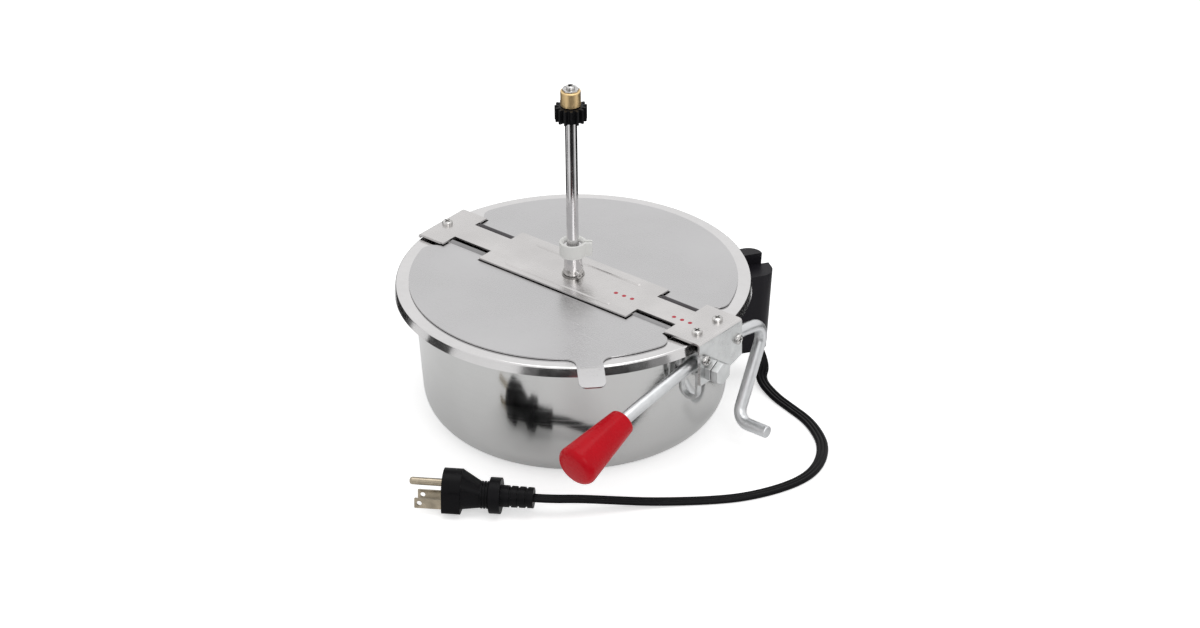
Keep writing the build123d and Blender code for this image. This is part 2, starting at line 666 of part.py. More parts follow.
with BuildPart() as crossbar:
    with BuildSketch(Plane.XZ):
        with BuildLine():
            FilletPolyline(
                (BAR_LEFT, RIM_TOP),
                (BAR_LEFT, BAR_TOP),
                (BAR_RIGHT, BAR_TOP),
                (BAR_RIGHT, BRACKET_FOOT),
                radius=BAR_BEND,
            )
            offset(amount=BAR_SHEET, side=Side.RIGHT)
        make_face()
    extrude(amount=bar_half, both=True)
    # hinge notches on both edges
    with BuildSketch(Plane.XY.offset(BAR_TOP)):
        for side in (-1, 1):
            for end in (-1, 1):
                with Locations((end * (NOTCH_START + NOTCH_END) / 2, side * bar_half)):
                    Rectangle(NOTCH_END - NOTCH_START, 2 * NOTCH_DEPTH)
    extrude(amount=-BAR_SHEET, mode=Mode.SUBTRACT)
    # stiffening beads beside the shaft
    with BuildSketch(Plane.XY.offset(BAR_TOP)):
        with GridLocations(0, 2 * BEAD_OFFSET, 1, 2):
            SlotOverall(BEAD_LENGTH, BEAD_WIDTH)
    extrude(amount=BEAD_HEIGHT, taper=BEAD_SLOPE)
    # slanted rear corner of the end bracket
    with BuildSketch(bracket_face):
        with BuildLine():
            Polyline(
                (BRACKET_SLANT_START, BRACKET_FOOT),
                (bar_half, BRACKET_REAR_FOOT),
                (bar_half, BRACKET_FOOT),
                close=True,
            )
        make_face()
    extrude(amount=-BAR_SHEET, mode=Mode.SUBTRACT)
    # raised pad on the bracket, round the clamp bolt
    with BuildSketch(bracket_face):
        with BuildLine():
            Polyline((-bar_half, PAD_TOP), (-bar_half, BRACKET_FOOT), (BRACKET_SLANT_START, BRACKET_FOOT))
            Spline((BRACKET_SLANT_START, BRACKET_FOOT), PAD_WAIST, (-bar_half, PAD_TOP))
        make_face()
    extrude(amount=PAD_HEIGHT)
    with BuildSketch(Plane.XY.offset(BAR_TOP + BEAD_HEIGHT)):
        Circle(bush_radius)
        with Locations(*screw_places):
            Circle(SCREW_RADIUS + SCREW_HOLE_FIT)
    extrude(amount=-BEAD_HEIGHT - BAR_SHEET, mode=Mode.SUBTRACT)
    with BuildSketch(bracket_face.offset(PAD_HEIGHT)):
        with Locations(*bracket_screw_places):
            Circle(SCREW_RADIUS + SCREW_HOLE_FIT)
        with Locations(CLAMP_BOLT_PLACE):
            Circle(CLAMP_BOLT_RADIUS + SCREW_HOLE_FIT)
    extrude(amount=-PAD_HEIGHT - BAR_SHEET, mode=Mode.SUBTRACT)
save(crossbar.part, "crossbar")

rim_screw_tail = BAR_TOP - SHELL_FLANGE_UNDER + RIM_NUT_HEIGHT + RIM_SCREW_TAIL
with BuildPart() as crossbar_screws:
    with Locations(*[(x, y, BAR_TOP) for x, y in screw_places]):
        add(pan_head_screw(SCREW_RADIUS, rim_screw_tail, SCREW_HEAD_RADIUS, SCREW_HEAD_HEIGHT))
save(crossbar_screws.part, "crossbar_screws")

with BuildPart() as crossbar_spacers:
    with BuildSketch(Plane.XY.offset(RIM_TOP)):
        with Locations(*screw_places):
            Circle(SPACER_RADIUS)
            Circle(SCREW_RADIUS + SCREW_HOLE_FIT, mode=Mode.SUBTRACT)
    extrude(amount=BAR_UNDER - RIM_TOP)
save(crossbar_spacers.part, "crossbar_spacers")

with BuildPart() as rim_nuts:
    with Locations(*[(x, y, SHELL_FLANGE_UNDER - RIM_NUT_HEIGHT) for x, y in screw_places]):
        add(hex_nut(RIM_NUT_ACROSS_FLATS, RIM_NUT_HEIGHT, SCREW_RADIUS).rotate(Axis.Z, 30))
save(rim_nuts.part, "rim_nuts")

# The front screw stands on the raised pad, the rear one on the plain bracket.
with BuildPart() as bracket_screws:
    for (across, height), seat in zip(bracket_screw_places, (PAD_HEIGHT, 0)):
        with Locations(bracket_face.location * Pos(across, height, seat)):
            add(pan_head_screw(SCREW_RADIUS, BRACKET_SCREW_LENGTH, SCREW_HEAD_RADIUS, SCREW_HEAD_HEIGHT))
save(bracket_screws.part, "bracket_screws")

# ---------------------------------------------------------------- lids
knuckle_middle = (NOTCH_START + NOTCH_END) / 2
knuckle_length = NOTCH_END - NOTCH_START - 2 * KNUCKLE_SIDE_GAP
tab_plane = radial_plane(TAB_ANGLE, 0, LID_BOTTOM)
tab_droop = radians(TAB_DROOP)
tab_tip_radius = TAB_BEND_RADIUS + TAB_REACH * cos(tab_droop)

# Lift tab: a tongue that runs over the rim and droops past it.
with BuildPart() as lift_tab:
    with BuildSketch(Plane(origin=tab_plane.origin, x_dir=tab_plane.z_dir, z_dir=-tab_plane.x_dir)):
        with BuildLine():
            FilletPolyline(
                (LID_RADIUS / 2, 0),
                (TAB_BEND_RADIUS, 0),
                (tab_tip_radius, -TAB_REACH * sin(tab_droop)),
                radius=TAB_BEND_ROUND,
            )
            offset(amount=SHEET, side=Side.LEFT)
        make_face()
    extrude(amount=TAB_WIDTH / 2, both=True)
    with BuildSketch(Plane(origin=(0, 0, RIM_TOP), x_dir=tab_plane.z_dir, z_dir=(0, 0, 1))) as tab_plan:
        with Locations((tab_tip_radius / 2, 0)):
            Rectangle(tab_tip_radius, TAB_WIDTH)
        fillet(tab_plan.vertices().sort_by_distance(tab_plane.z_dir * tab_tip_radius)[:2], TAB_TIP_ROUND)
    extrude(amount=TAB_REACH, both=True, mode=Mode.INTERSECT)


def half_lid(tab):
    """Lid on the -Y side: a half-round sheet with two rolled knuckles, and a tab if it has one."""
    with BuildPart() as lid:
        with BuildSketch(Plane.XY.offset(LID_BOTTOM)) as outline:
            Circle(LID_RADIUS)
            with Locations((0, LID_RADIUS - LID_EDGE)):
                Rectangle(3 * LID_RADIUS, 2 * LID_RADIUS, mode=Mode.SUBTRACT)
            fillet(outline.vertices().group_by(Axis.Y)[-1], LID_CORNER)
            if tab:
                with Locations(Location((0, 0, 0), (0, 0, TAB_ANGLE))):
                    with Locations((LID_RADIUS / 2, 0)):
                        Rectangle(
                            TAB_BEND_RADIUS - LID_RADIUS / 2,
                            TAB_WIDTH,
                            align=(Align.MIN, Align.CENTER),
                        )
                half_angle = degrees(TAB_WIDTH / 2 / LID_RADIUS)
                roots = [
                    Vector(LID_RADIUS, 0, 0).rotate(Axis.Z, TAB_ANGLE + side * half_angle)
                    for side in (-1, 1)
                ]
                fillet([outline.vertices().sort_by_distance(root)[0] for root in roots], TAB_ROOT_ROUND)
            with Locations((-knuckle_middle, -HINGE_OFFSET), (knuckle_middle, -HINGE_OFFSET)):
                Rectangle(knuckle_length, LID_EDGE - HINGE_OFFSET + SHEET, align=(Align.CENTER, Align.MAX))
        extrude(amount=SHEET)
        if tab:
            add(lift_tab.part)
        with Locations(*[(end * knuckle_middle, -HINGE_OFFSET, HINGE_HEIGHT) for end in (-1, 1)]):
            Cylinder(KNUCKLE_RADIUS, knuckle_length, rotation=(0, 90, 0))
        with Locations(*[(end * knuckle_middle, -HINGE_OFFSET, HINGE_HEIGHT) for end in (-1, 1)]):
            Cylinder(
                HINGE_WIRE_RADIUS + HINGE_FIT,
                HINGE_WIRE_LENGTH,
                rotation=(0, 90, 0),
                mode=Mode.SUBTRACT,
            )
    return lid.part


save(half_lid(tab=True), "front_lid")
save(half_lid(tab=False).mirror(Plane.XZ), "rear_lid")

# Hinge wires: straight wires held under the crossbar, one across each notch.
for side, name in ((-1, "front_hinge_wires"), (1, "rear_hinge_wires")):
    with BuildPart() as hinge_wires:
        with Locations(*[(end * knuckle_middle, side * HINGE_OFFSET, HINGE_HEIGHT) for end in (-1, 1)]):
            Cylinder(HINGE_WIRE_RADIUS, HINGE_WIRE_LENGTH, rotation=(0, 90, 0))
    save(hinge_wires.part, name)

# ---------------------------------------------------------------- rod, grip and clamp
grip_axis = (Vector(0, *ROD_BOW) - Vector(0, *GRIP_TIP)).normalized()
grip_tip = Vector(ROD_PLANE, *GRIP_TIP)
rod_start = grip_tip + grip_axis * GRIP_WALL

# Support rod: one bent bar, bowed from the grip to the bracket, cranked down behind it and
# turned outwards into the journal that the kettle tips about.
with BuildPart() as support_rod:
    with BuildLine():
        FilletPolyline(
            rod_start,
            (ROD_PLANE, *ROD_BOW),
            (ROD_PLANE, *ROD_CLAMPED),
            (ROD_PLANE, *ROD_SHOULDER),
            (ROD_PLANE, *CRANK_TOP),
            (ROD_PLANE, *CRANK_FOOT),
            (JOURNAL_END, *CRANK_FOOT),
            radius=[BOW_ROUND, BOW_ROUND, SHOULDER_ROUND, CRANK_BEND, JOURNAL_BEND],
        )
    with BuildSketch(Plane(origin=rod_start, z_dir=grip_axis)):
        Circle(ROD_RADIUS)
    sweep()
    chamfer(support_rod.edges().sort_by(Axis.X)[-1], ROD_CHAMFER)
save(support_rod.part, "support_rod")

# Grip: tapered moulding with a crowned end, blind-bored for the rod.
with BuildPart() as handle_grip:
    grip_plane = Plane(origin=grip_tip, x_dir=(1, 0, 0), z_dir=Vector(1, 0, 0).cross(grip_axis))
    with BuildSketch(grip_plane) as grip_half:
        with BuildLine():
            ThreePointArc(
                (0, 0),
                (GRIP_TIP_RADIUS / 2, GRIP_CROWN / 4),
                (GRIP_TIP_RADIUS, GRIP_CROWN),
            )
            Polyline(
                (GRIP_TIP_RADIUS, GRIP_CROWN),
                (GRIP_NECK_RADIUS, GRIP_LENGTH),
                (0, GRIP_LENGTH),
                (0, 0),
            )
        make_face()
        grip_corner = grip_tip + Vector(GRIP_TIP_RADIUS, 0, 0)
        fillet(grip_half.vertices().sort_by_distance(grip_corner)[0], GRIP_TIP_ROUND)
    revolve(axis=Axis(grip_tip, grip_axis))
    fillet(handle_grip.edges().sort_by(Axis(grip_tip, grip_axis))[-1], GRIP_NECK_ROUND)
    add(support_rod.part, mode=Mode.SUBTRACT)
save(handle_grip.part, "handle_grip")

# Clamp bolt with its lock nut: its tip bears on the rod.
bolt_face = bracket_face.offset(PAD_HEIGHT)
with BuildPart() as clamp_nut:
    with BuildSketch(bolt_face):
        with Locations(CLAMP_BOLT_PLACE):
            RegularPolygon(CLAMP_BOLT_FLATS / 2, 6, major_radius=False, rotation=30)
            Circle(CLAMP_BOLT_RADIUS, mode=Mode.SUBTRACT)
    extrude(amount=CLAMP_NUT_HEIGHT)
save(clamp_nut.part, "clamp_nut")

with BuildPart() as clamp_bolt:
    with BuildSketch(bolt_face.offset(CLAMP_NUT_HEIGHT + CLAMP_NUT_GAP)):
        with Locations(CLAMP_BOLT_PLACE):
            RegularPolygon(CLAMP_BOLT_FLATS / 2, 6, major_radius=False, rotation=30)
    extrude(amount=CLAMP_HEAD_HEIGHT)
    with BuildSketch(bolt_face.offset(CLAMP_NUT_HEIGHT + CLAMP_NUT_GAP)):
        with Locations(CLAMP_BOLT_PLACE):
            Circle(CLAMP_BOLT_RADIUS)
    extrude(amount=-(BAR_RIGHT + PAD_HEIGHT + CLAMP_NUT_HEIGHT + CLAMP_NUT_GAP - CLAMP_TIP))
save(clamp_bolt.part, "clamp_bolt")

# Rod clamp: casting between the wall and the bracket, bored for the rod.
with BuildPart() as rod_clamp:
    with BuildSketch(Plane.YZ.offset(WALL_FOOT_RADIUS)):
        with Locations(((CLAMP_FRONT + CLAMP_REAR) / 2, (CLAMP_TOP + CLAMP_BOTTOM) / 2)):
            RectangleRounded(CLAMP_REAR - CLAMP_FRONT, CLAMP_TOP - CLAMP_BOTTOM, CLAMP_CORNER)
    extrude(amount=BRACKET_INNER - WALL_FOOT_RADIUS)
    add(wall_form.part, mode=Mode.SUBTRACT)
    add(support_rod.part, mode=Mode.SUBTRACT)
    add(clamp_bolt.part, mode=Mode.SUBTRACT)
    add(bracket_screws.part, mode=Mode.SUBTRACT)
save(rod_clamp.part, "rod_clamp")

# Front stay: a strap from the bracket's foot, curled under the rod and up to the rim.
stay_plane = Plane.XZ.offset(bar_half - STAY_WIDTH)
with BuildPart() as front_stay:
    with BuildSketch(stay_plane):
        with BuildLine():
            FilletPolyline(
                (BRACKET_INNER, STAY_LAP_TOP),
                (BRACKET_INNER, STAY_FOOT),
                (BRACKET_INNER - STAY_SPAN, STAY_FOOT),
                (BRACKET_INNER - STAY_SPAN, SHELL_FLANGE_UNDER),
                radius=STAY_BEND,
            )
            offset(amount=STAY_GAUGE, side=Side.RIGHT)
        make_face()
    extrude(amount=STAY_WIDTH)
save(front_stay.part, "front_stay")

# ---------------------------------------------------------------- drive shaft and stirrer
with BuildPart() as shaft_bush:
    with BuildSketch(Plane.XZ):
        with BuildLine():
            Polyline(
                (STIRRER_SHAFT_RADIUS + RUNNING_FIT, BAR_TOP - BUSH_DEPTH),
                (bush_radius, BAR_TOP - BUSH_DEPTH),
                (bush_radius, BAR_TOP),
                (BUSH_FLANGE_RADIUS, BAR_TOP),
                (BUSH_FLANGE_RADIUS, BAR_TOP + BUSH_FLANGE),
                (STIRRER_SHAFT_RADIUS + RUNNING_FIT, BAR_TOP + BUSH_FLANGE),
                close=True,
            )
        make_face()
    revolve(axis=Axis.Z)
save(shaft_bush.part, "shaft_bush")

with BuildPart() as stirrer_shaft:
    with BuildSketch(Plane.XY.offset(STIRRER_SHAFT_FOOT)):
        Circle(STIRRER_SHAFT_RADIUS)
    extrude(amount=STIRRER_SHAFT_TOP - STIRRER_SHAFT_FOOT)
    chamfer(stirrer_shaft.edges().group_by(Axis.Z)[0], SHAFT_CHAMFER)
save(stirrer_shaft.part, "stirrer_shaft")

# Set screw through the stop ring and the sleeve, with a hexagon socket.
set_screw_plane = radial_plane(SET_SCREW_ANGLE, STIRRER_SHAFT_RADIUS, SLEEVE_FOOT + STOP_RING_HEIGHT / 2)
with BuildPart() as set_screw:
    with BuildSketch(set_screw_plane):
        Circle(SET_SCREW_RADIUS)
    extrude(amount=SET_SCREW_REACH - STIRRER_SHAFT_RADIUS)
    add(stirrer_shaft.part, mode=Mode.SUBTRACT)
    with BuildSketch(set_screw_plane.offset(SET_SCREW_REACH - STIRRER_SHAFT_RADIUS)):
        RegularPolygon(SOCKET_RADIUS, 6)
    extrude(amount=-SOCKET_DEPTH, mode=Mode.SUBTRACT)
save(set_screw.part, "set_screw")

with BuildPart() as stirrer_sleeve:
    with BuildSketch(Plane.XY.offset(SLEEVE_FOOT)):
        Circle(SLEEVE_RADIUS)
        Circle(STIRRER_SHAFT_RADIUS, mode=Mode.SUBTRACT)
    extrude(amount=SLEEVE_TOP - SLEEVE_FOOT)
    add(set_screw.part, mode=Mode.SUBTRACT)
save(stirrer_sleeve.part, "stirrer_sleeve")

with BuildPart() as stop_ring:
    with BuildSketch(Plane.XY.offset(SLEEVE_FOOT)):
        Circle(STOP_RING_RADIUS)
        Circle(SLEEVE_RADIUS, mode=Mode.SUBTRACT)
    extrude(amount=STOP_RING_HEIGHT)
    add(set_screw.part, mode=Mode.SUBTRACT)
save(stop_ring.part, "stop_ring")

# Collar clip: split nylon ring with two ears, pushed over the sleeve.
with BuildPart() as collar_clip:
    with BuildSketch(Plane.XY.offset(COLLAR_BOTTOM)):
        Circle(COLLAR_RADIUS)
        with Locations(Location((0, 0, 0), (0, 0, COLLAR_ANGLE))):
            with Locations((COLLAR_EAR_REACH / 2, 0)):
                Rectangle(COLLAR_EAR_REACH, 2 * COLLAR_EAR_GAUGE + COLLAR_SPLIT)
        Circle(SLEEVE_RADIUS, mode=Mode.SUBTRACT)
        with Locations(Location((0, 0, 0), (0, 0, COLLAR_ANGLE))):
            with Locations((COLLAR_EAR_REACH / 2, 0)):
                Rectangle(COLLAR_EAR_REACH + 2 * COLLAR_SPLIT, COLLAR_SPLIT, mode=Mode.SUBTRACT)
    extrude(amount=COLLAR_HEIGHT)
    mouth = collar_clip.edges().filter_by(GeomType.CIRCLE).group_by(Axis.Z)[-1].sort_by(SortBy.RADIUS)[0]
    chamfer(mouth, COLLAR_LIP)
save(collar_clip.part, "collar_clip")

# Drive shaft: stands in the sleeve, necked at the top for the bearing and tapped for its screw.
with BuildPart() as drive_shaft:
    with BuildSketch(Plane.XY.offset(SHAFT_FOOT)):
        Circle(SHAFT_RADIUS)
    extrude(amount=GEAR_TOP - SHAFT_FOOT)
    with BuildSketch(Plane.XY.offset(GEAR_TOP)):
        Circle(JOURNAL_RADIUS)
    extrude(amount=SHAFT_TOP - GEAR_TOP)
    with BuildSketch(Plane.XY.offset(SHAFT_TOP)):
        Circle(TOP_SCREW_RADIUS)
    extrude(amount=TOP_WASHER_GAUGE - TOP_SCREW_LENGTH, mode=Mode.SUBTRACT)
    with Locations((0, 0, GEAR_FOOT + GEAR_HEIGHT / 2)):
        Cylinder(GEAR_PIN_RADIUS, GEAR_PIN_LENGTH, rotation=(0, 90, 0), mode=Mode.SUBTRACT)
save(drive_shaft.part, "drive_shaft")

with BuildPart() as drive_gear:
    with BuildSketch(Plane.XY.offset(GEAR_FOOT)):
        Circle(GEAR_ROOT_RADIUS)
        with PolarLocations(0, GEAR_TEETH):
            Polygon(
                (GEAR_ROOT_RADIUS - TOOTH_TIP_WIDTH, -TOOTH_ROOT_WIDTH / 2),
                (GEAR_TIP_RADIUS, -TOOTH_TIP_WIDTH / 2),
                (GEAR_TIP_RADIUS, TOOTH_TIP_WIDTH / 2),
                (GEAR_ROOT_RADIUS - TOOTH_TIP_WIDTH, TOOTH_ROOT_WIDTH / 2),
                align=None,
            )
        Circle(SHAFT_RADIUS, mode=Mode.SUBTRACT)
    extrude(amount=GEAR_HEIGHT)
    with Locations((0, 0, GEAR_FOOT + GEAR_HEIGHT / 2)):
        Cylinder(GEAR_PIN_RADIUS, GEAR_PIN_LENGTH, rotation=(0, 90, 0), mode=Mode.SUBTRACT)
save(drive_gear.part, "drive_gear")

with BuildPart() as gear_pin:
    with Locations((0, 0, GEAR_FOOT + GEAR_HEIGHT / 2)):
        Cylinder(GEAR_PIN_RADIUS, GEAR_PIN_LENGTH, rotation=(0, 90, 0))
save(gear_pin.part, "gear_pin")

# Top bearing: brass bush that turns freely on the necked end of the shaft.
with BuildPart() as top_bearing:
    with BuildSketch(Plane.XY.offset(BEARING_FOOT)):
        Circle(BEARING_RADIUS)
        Circle(JOURNAL_RADIUS + RUNNING_FIT, mode=Mode.SUBTRACT)
    extrude(amount=BEARING_HEIGHT)
    chamfer(top_bearing.edges().filter_by(GeomType.CIRCLE).sort_by(SortBy.RADIUS)[-2:], BEARING_CHAMFER)
save(top_bearing.part, "top_bearing")

with BuildPart() as top_washer:
    with BuildSketch(Plane.XY.offset(SHAFT_TOP)):
        RegularPolygon(TOP_WASHER_RADIUS, 8)
        Circle(TOP_SCREW_RADIUS, mode=Mode.SUBTRACT)
    extrude(amount=TOP_WASHER_GAUGE)
save(top_washer.part, "top_washer")

with BuildPart() as top_screw:
    with Locations((0, 0, SHAFT_TOP + TOP_WASHER_GAUGE)):
        add(pan_head_screw(TOP_SCREW_RADIUS, TOP_SCREW_LENGTH, TOP_SCREW_HEAD_RADIUS, TOP_SCREW_HEAD_HEIGHT))
save(top_screw.part, "top_screw")

# Stirrer arms: bent rods that step down from the hub and sweep just above the pan floor.
arms = {}
for name, angle, reach, tip in (
    ("long_arm", STIRRER_ANGLE, ARM_REACH, ARM_TIP_REACH),
    ("short_arm", STIRRER_ANGLE + 180, SHORT_ARM_REACH, SHORT_ARM_REACH + ARM_TIP_RUN),
):
    heading = Vector(cos(radians(angle)), sin(radians(angle)), 0)
    stations = (
        (HUB_RADIUS - ARM_SOCKET, ARM_HIGH),
        (ARM_STEP_START, ARM_HIGH),
        (ARM_STEP_END, ARM_LOW),
        (reach, ARM_LOW),
        (tip, ARM_TIP_HEIGHT),
    )
    with BuildPart() as arm:
        with BuildLine():
            FilletPolyline(*[heading * out + Vector(0, 0, up) for out, up in stations], radius=ARM_BEND)
        with BuildSketch(Plane(origin=heading * stations[0][0] + Vector(0, 0, ARM_HIGH), z_dir=heading)):
            Circle(ARM_RADIUS)
        sweep()
    arms[name] = arm.part
    save(arm.part, name)

with BuildPart() as stirrer_hub:
    with BuildSketch(Plane.XY.offset(HUB_FOOT)):
        Circle(HUB_RADIUS)
        Circle(STIRRER_SHAFT_RADIUS, mode=Mode.SUBTRACT)
    extrude(amount=HUB_HEIGHT)
    chamfer(stirrer_hub.edges().filter_by(GeomType.CIRCLE).sort_by(SortBy.RADIUS)[-2:], HUB_CHAMFER)
    add(list(arms.values()), mode=Mode.SUBTRACT)
save(stirrer_hub.part, "stirrer_hub")

# ---------------------------------------------------------------- terminal housing
draft = (BOX_REACH - BOX_FOOT_REACH) / (BOX_SHOULDER - BOX_FOOT)


def box_slice(start, end, reach, top, foot, near_round, far_round):
    """Slab of the housing between two places across it, with a drafted outer face.

    A round rounds the outer face's upright edge on that side, and zero leaves it sharp.
    """
    with BuildPart() as slab:
        with BuildSketch(Plane(origin=BOX_ACROSS * start, x_dir=BOX_OUTWARD, z_dir=-BOX_ACROSS)):
            with BuildLine():
                Polyline(
                    (WALL_FOOT_RADIUS, foot),
                    (reach - draft * (BOX_SHOULDER - foot), foot),
                    (reach + draft * (top - BOX_SHOULDER), top),
                    (WALL_FOOT_RADIUS, top),
                    close=True,
                )
            make_face()
        extrude(amount=start - end)
        for place, radius in ((0, near_round), (-1, far_round)):
            if radius:
                outer_face = slab.faces().sort_by(Axis((0, 0, 0), BOX_OUTWARD))[-1]
                fillet(outer_face.edges().sort_by(Axis((0, 0, 0), BOX_ACROSS))[place], radius)
    return slab.part


near_slab = box_slice(BOX_NEAR, BOX_STEP, BOX_REACH, BOX_SHOULDER, BOX_FOOT, BOX_NEAR_ROUND, 0)
far_slab = box_slice(BOX_STEP, BOX_FAR, BOX_HIGH_REACH, BOX_TOP, BOX_FOOT, 0, BOX_FAR_ROUND)
box_hollow = box_slice(
    BOX_NEAR + BOX_WALL,
    BOX_FAR - BOX_WALL,
    BOX_HIGH_REACH - BOX_WALL,
    BOX_SHOULDER - BOX_WALL,
    BOX_FOOT + BOX_WALL,
    BOX_NEAR_ROUND - BOX_WALL,
    BOX_FAR_ROUND - BOX_WALL,
)

# Strain relief: tapered bush round the cord, leaning out of the housing's foot.
relief_tip = CORD_ROUTE[0]
relief_down = (CORD_ROUTE[1] - relief_tip).normalized()


def cord_width_at_start(route):
    """Direction of the flat cord's width at its start, carried back from where it lies flat."""
    level = route[3] - route[2]
    width = Vector(0, 0, 1).cross(level).normalized()
    for corner in (2, 1):
        into = route[corner] - route[corner - 1]
        away = route[corner + 1] - route[corner]
        width = width.rotate(Axis((0, 0, 0), into.cross(away)), -into.get_angle(away))
    return width


cord_width_dir = cord_width_at_start(CORD_ROUTE)
tip_plane = Plane(origin=relief_tip, x_dir=cord_width_dir, z_dir=relief_down)
with BuildPart() as strain_relief:
    with BuildSketch(tip_plane):
        RectangleRounded(*RELIEF_TIP_SIZE, RELIEF_CORNER)
    with BuildSketch(tip_plane.offset(-RELIEF_LENGTH)):
        RectangleRounded(*RELIEF_TOP_SIZE, RELIEF_CORNER)
    loft()
save(strain_relief.part, "strain_relief")

face_tilt = atan2(BOX_REACH - BOX_FOOT_REACH, BOX_SHOULDER - BOX_FOOT)
face_normal = BOX_OUTWARD * cos(face_tilt) - Vector(0, 0, sin(face_tilt))
housing_screw_length = BOX_FOOT_REACH - BASE_PLATE_REACH + BOX_SCREW_BITE - BOX_SCREW_SINK
housing_screw_seats = [
    Plane(
        origin=BOX_OUTWARD * (BOX_FOOT_REACH + draft * (height - BOX_FOOT))
        + BOX_ACROSS * BOX_SCREW_ACROSS
        + Vector(0, 0, height),
        z_dir=face_normal,
    ).offset(-BOX_SCREW_SINK)
    for height in BOX_SCREW_HEIGHTS
]
with BuildPart() as housing_screws:
    with Locations(*housing_screw_seats):
        add(pan_head_screw(SCREW_RADIUS, housing_screw_length, SCREW_HEAD_RADIUS, SCREW_HEAD_HEIGHT))
save(housing_screws.part, "housing_screws")

with BuildPart() as terminal_cover:
    add(near_slab)
    add(far_slab)
    add(box_hollow, mode=Mode.SUBTRACT)
    add(wall_form.part, mode=Mode.SUBTRACT)
    add(strain_relief.part, mode=Mode.SUBTRACT)
    add(housing_screws.part, mode=Mode.SUBTRACT)
    for seat in housing_screw_seats:
        with BuildSketch(seat):
            Circle(SCREW_HEAD_RADIUS + BOX_SCREW_FIT)
        extrude(amount=BOX_SCREW_SINK + BOX_WALL, mode=Mode.SUBTRACT)
save(terminal_cover.part, "terminal_cover")

with BuildPart() as terminal_base:
    with BuildSketch(radial_plane(BOX_ANGLE, WALL_FOOT_RADIUS, BASE_PLATE_FOOT)):
        with Locations((0, BASE_PLATE_HEIGHT / 2)):
            Rectangle(2 * BASE_PLATE_HALF, BASE_PLATE_HEIGHT)
    extrude(amount=BASE_PLATE_REACH - WALL_FOOT_RADIUS)
    add(wall_form.part, mode=Mode.SUBTRACT)
    add(housing_screws.part, mode=Mode.SUBTRACT)
save(terminal_base.part, "terminal_base")

with BuildPart() as terminal_block:
    with BuildSketch(radial_plane(BOX_ANGLE, BASE_PLATE_REACH, 0)):
        with Locations(BLOCK_PLACE):
            Rectangle(BLOCK_WIDTH, BLOCK_HEIGHT)
    extrude(amount=BLOCK_REACH)
    add(housing_screws.part, mode=Mode.SUBTRACT)
save(terminal_block.part, "terminal_block")

# Rubber grommet in the wall where the leads pass.
groove_radius = wall_radius(LEAD_HEIGHT) - SHEET / 2
with BuildPart() as wire_grommet:
    with BuildSketch(radial_plane(LEAD_ANGLE, groove_radius, LEAD_HEIGHT)):
        Circle(GROMMET_HOLE)
    extrude(amount=GROMMET_GROOVE / 2, both=True)
    for side in (-1, 1):
        with BuildSketch(radial_plane(LEAD_ANGLE, groove_radius + side * GROMMET_GROOVE / 2, LEAD_HEIGHT)):
            Circle(GROMMET_RADIUS)
        extrude(amount=side * GROMMET_LIP)
    with BuildSketch(radial_plane(LEAD_ANGLE, groove_radius, LEAD_HEIGHT)):
        Circle(GROMMET_BORE)
    extrude(amount=GROMMET_GROOVE + GROMMET_LIP, both=True, mode=Mode.SUBTRACT)
save(wire_grommet.part, "wire_grommet")

# Leads from the terminal block to the element's two pins, and to the heat plate for earth.
lead_outward = Vector(cos(radians(LEAD_ANGLE)), sin(radians(LEAD_ANGLE)), 0)
lead_across = Vector(-lead_outward.Y, lead_outward.X, 0)
block_foot = BLOCK_PLACE[1] - BLOCK_HEIGHT / 2
pin_tip = ELEMENT_RING_RADIUS * cos(half_gap) + pin_length * sin(half_gap) - ELEMENT_PIN_RADIUS
for name, across, inward in (
    ("live_lead", -LEAD_SPACING, [(pin_tip, LEAD_HEIGHT)]),
    ("neutral_lead", LEAD_SPACING, [(pin_tip, LEAD_HEIGHT)]),
    ("earth_lead", 0, [(EARTH_LEAD_REACH, LEAD_HEIGHT), (EARTH_LEAD_REACH, HEAT_PLATE_UNDER)]),
):
    stations = [(LEAD_DROP_RADIUS, block_foot), (LEAD_DROP_RADIUS, LEAD_HEIGHT)] + inward
    bends = [LEAD_BEND, EARTH_LEAD_BEND][: len(stations) - 2]
    with BuildPart() as lead:
        with BuildLine():
            FilletPolyline(
                *[lead_outward * out + lead_across * across + Vector(0, 0, up) for out, up in stations],
                radius=bends,
            )
        with BuildSketch(
            Plane(
                origin=lead_outward * LEAD_DROP_RADIUS + lead_across * across + Vector(0, 0, block_foot),
                z_dir=(0, 0, -1),
            )
        ):
            Circle(LEAD_RADIUS)
        sweep()
        add(heating_element.part, mode=Mode.SUBTRACT)
    save(lead.part, name)

# ---------------------------------------------------------------- power cord and plug
corner_radii = cord_radii(CORD_ROUTE)
with BuildPart() as power_cord:
    with BuildLine():
        FilletPolyline(*CORD_ROUTE, radius=corner_radii)
    with BuildSketch(tip_plane):
        SlotOverall(CORD_WIDTH, CORD_THICKNESS)
    sweep()
save(power_cord.part, "power_cord")

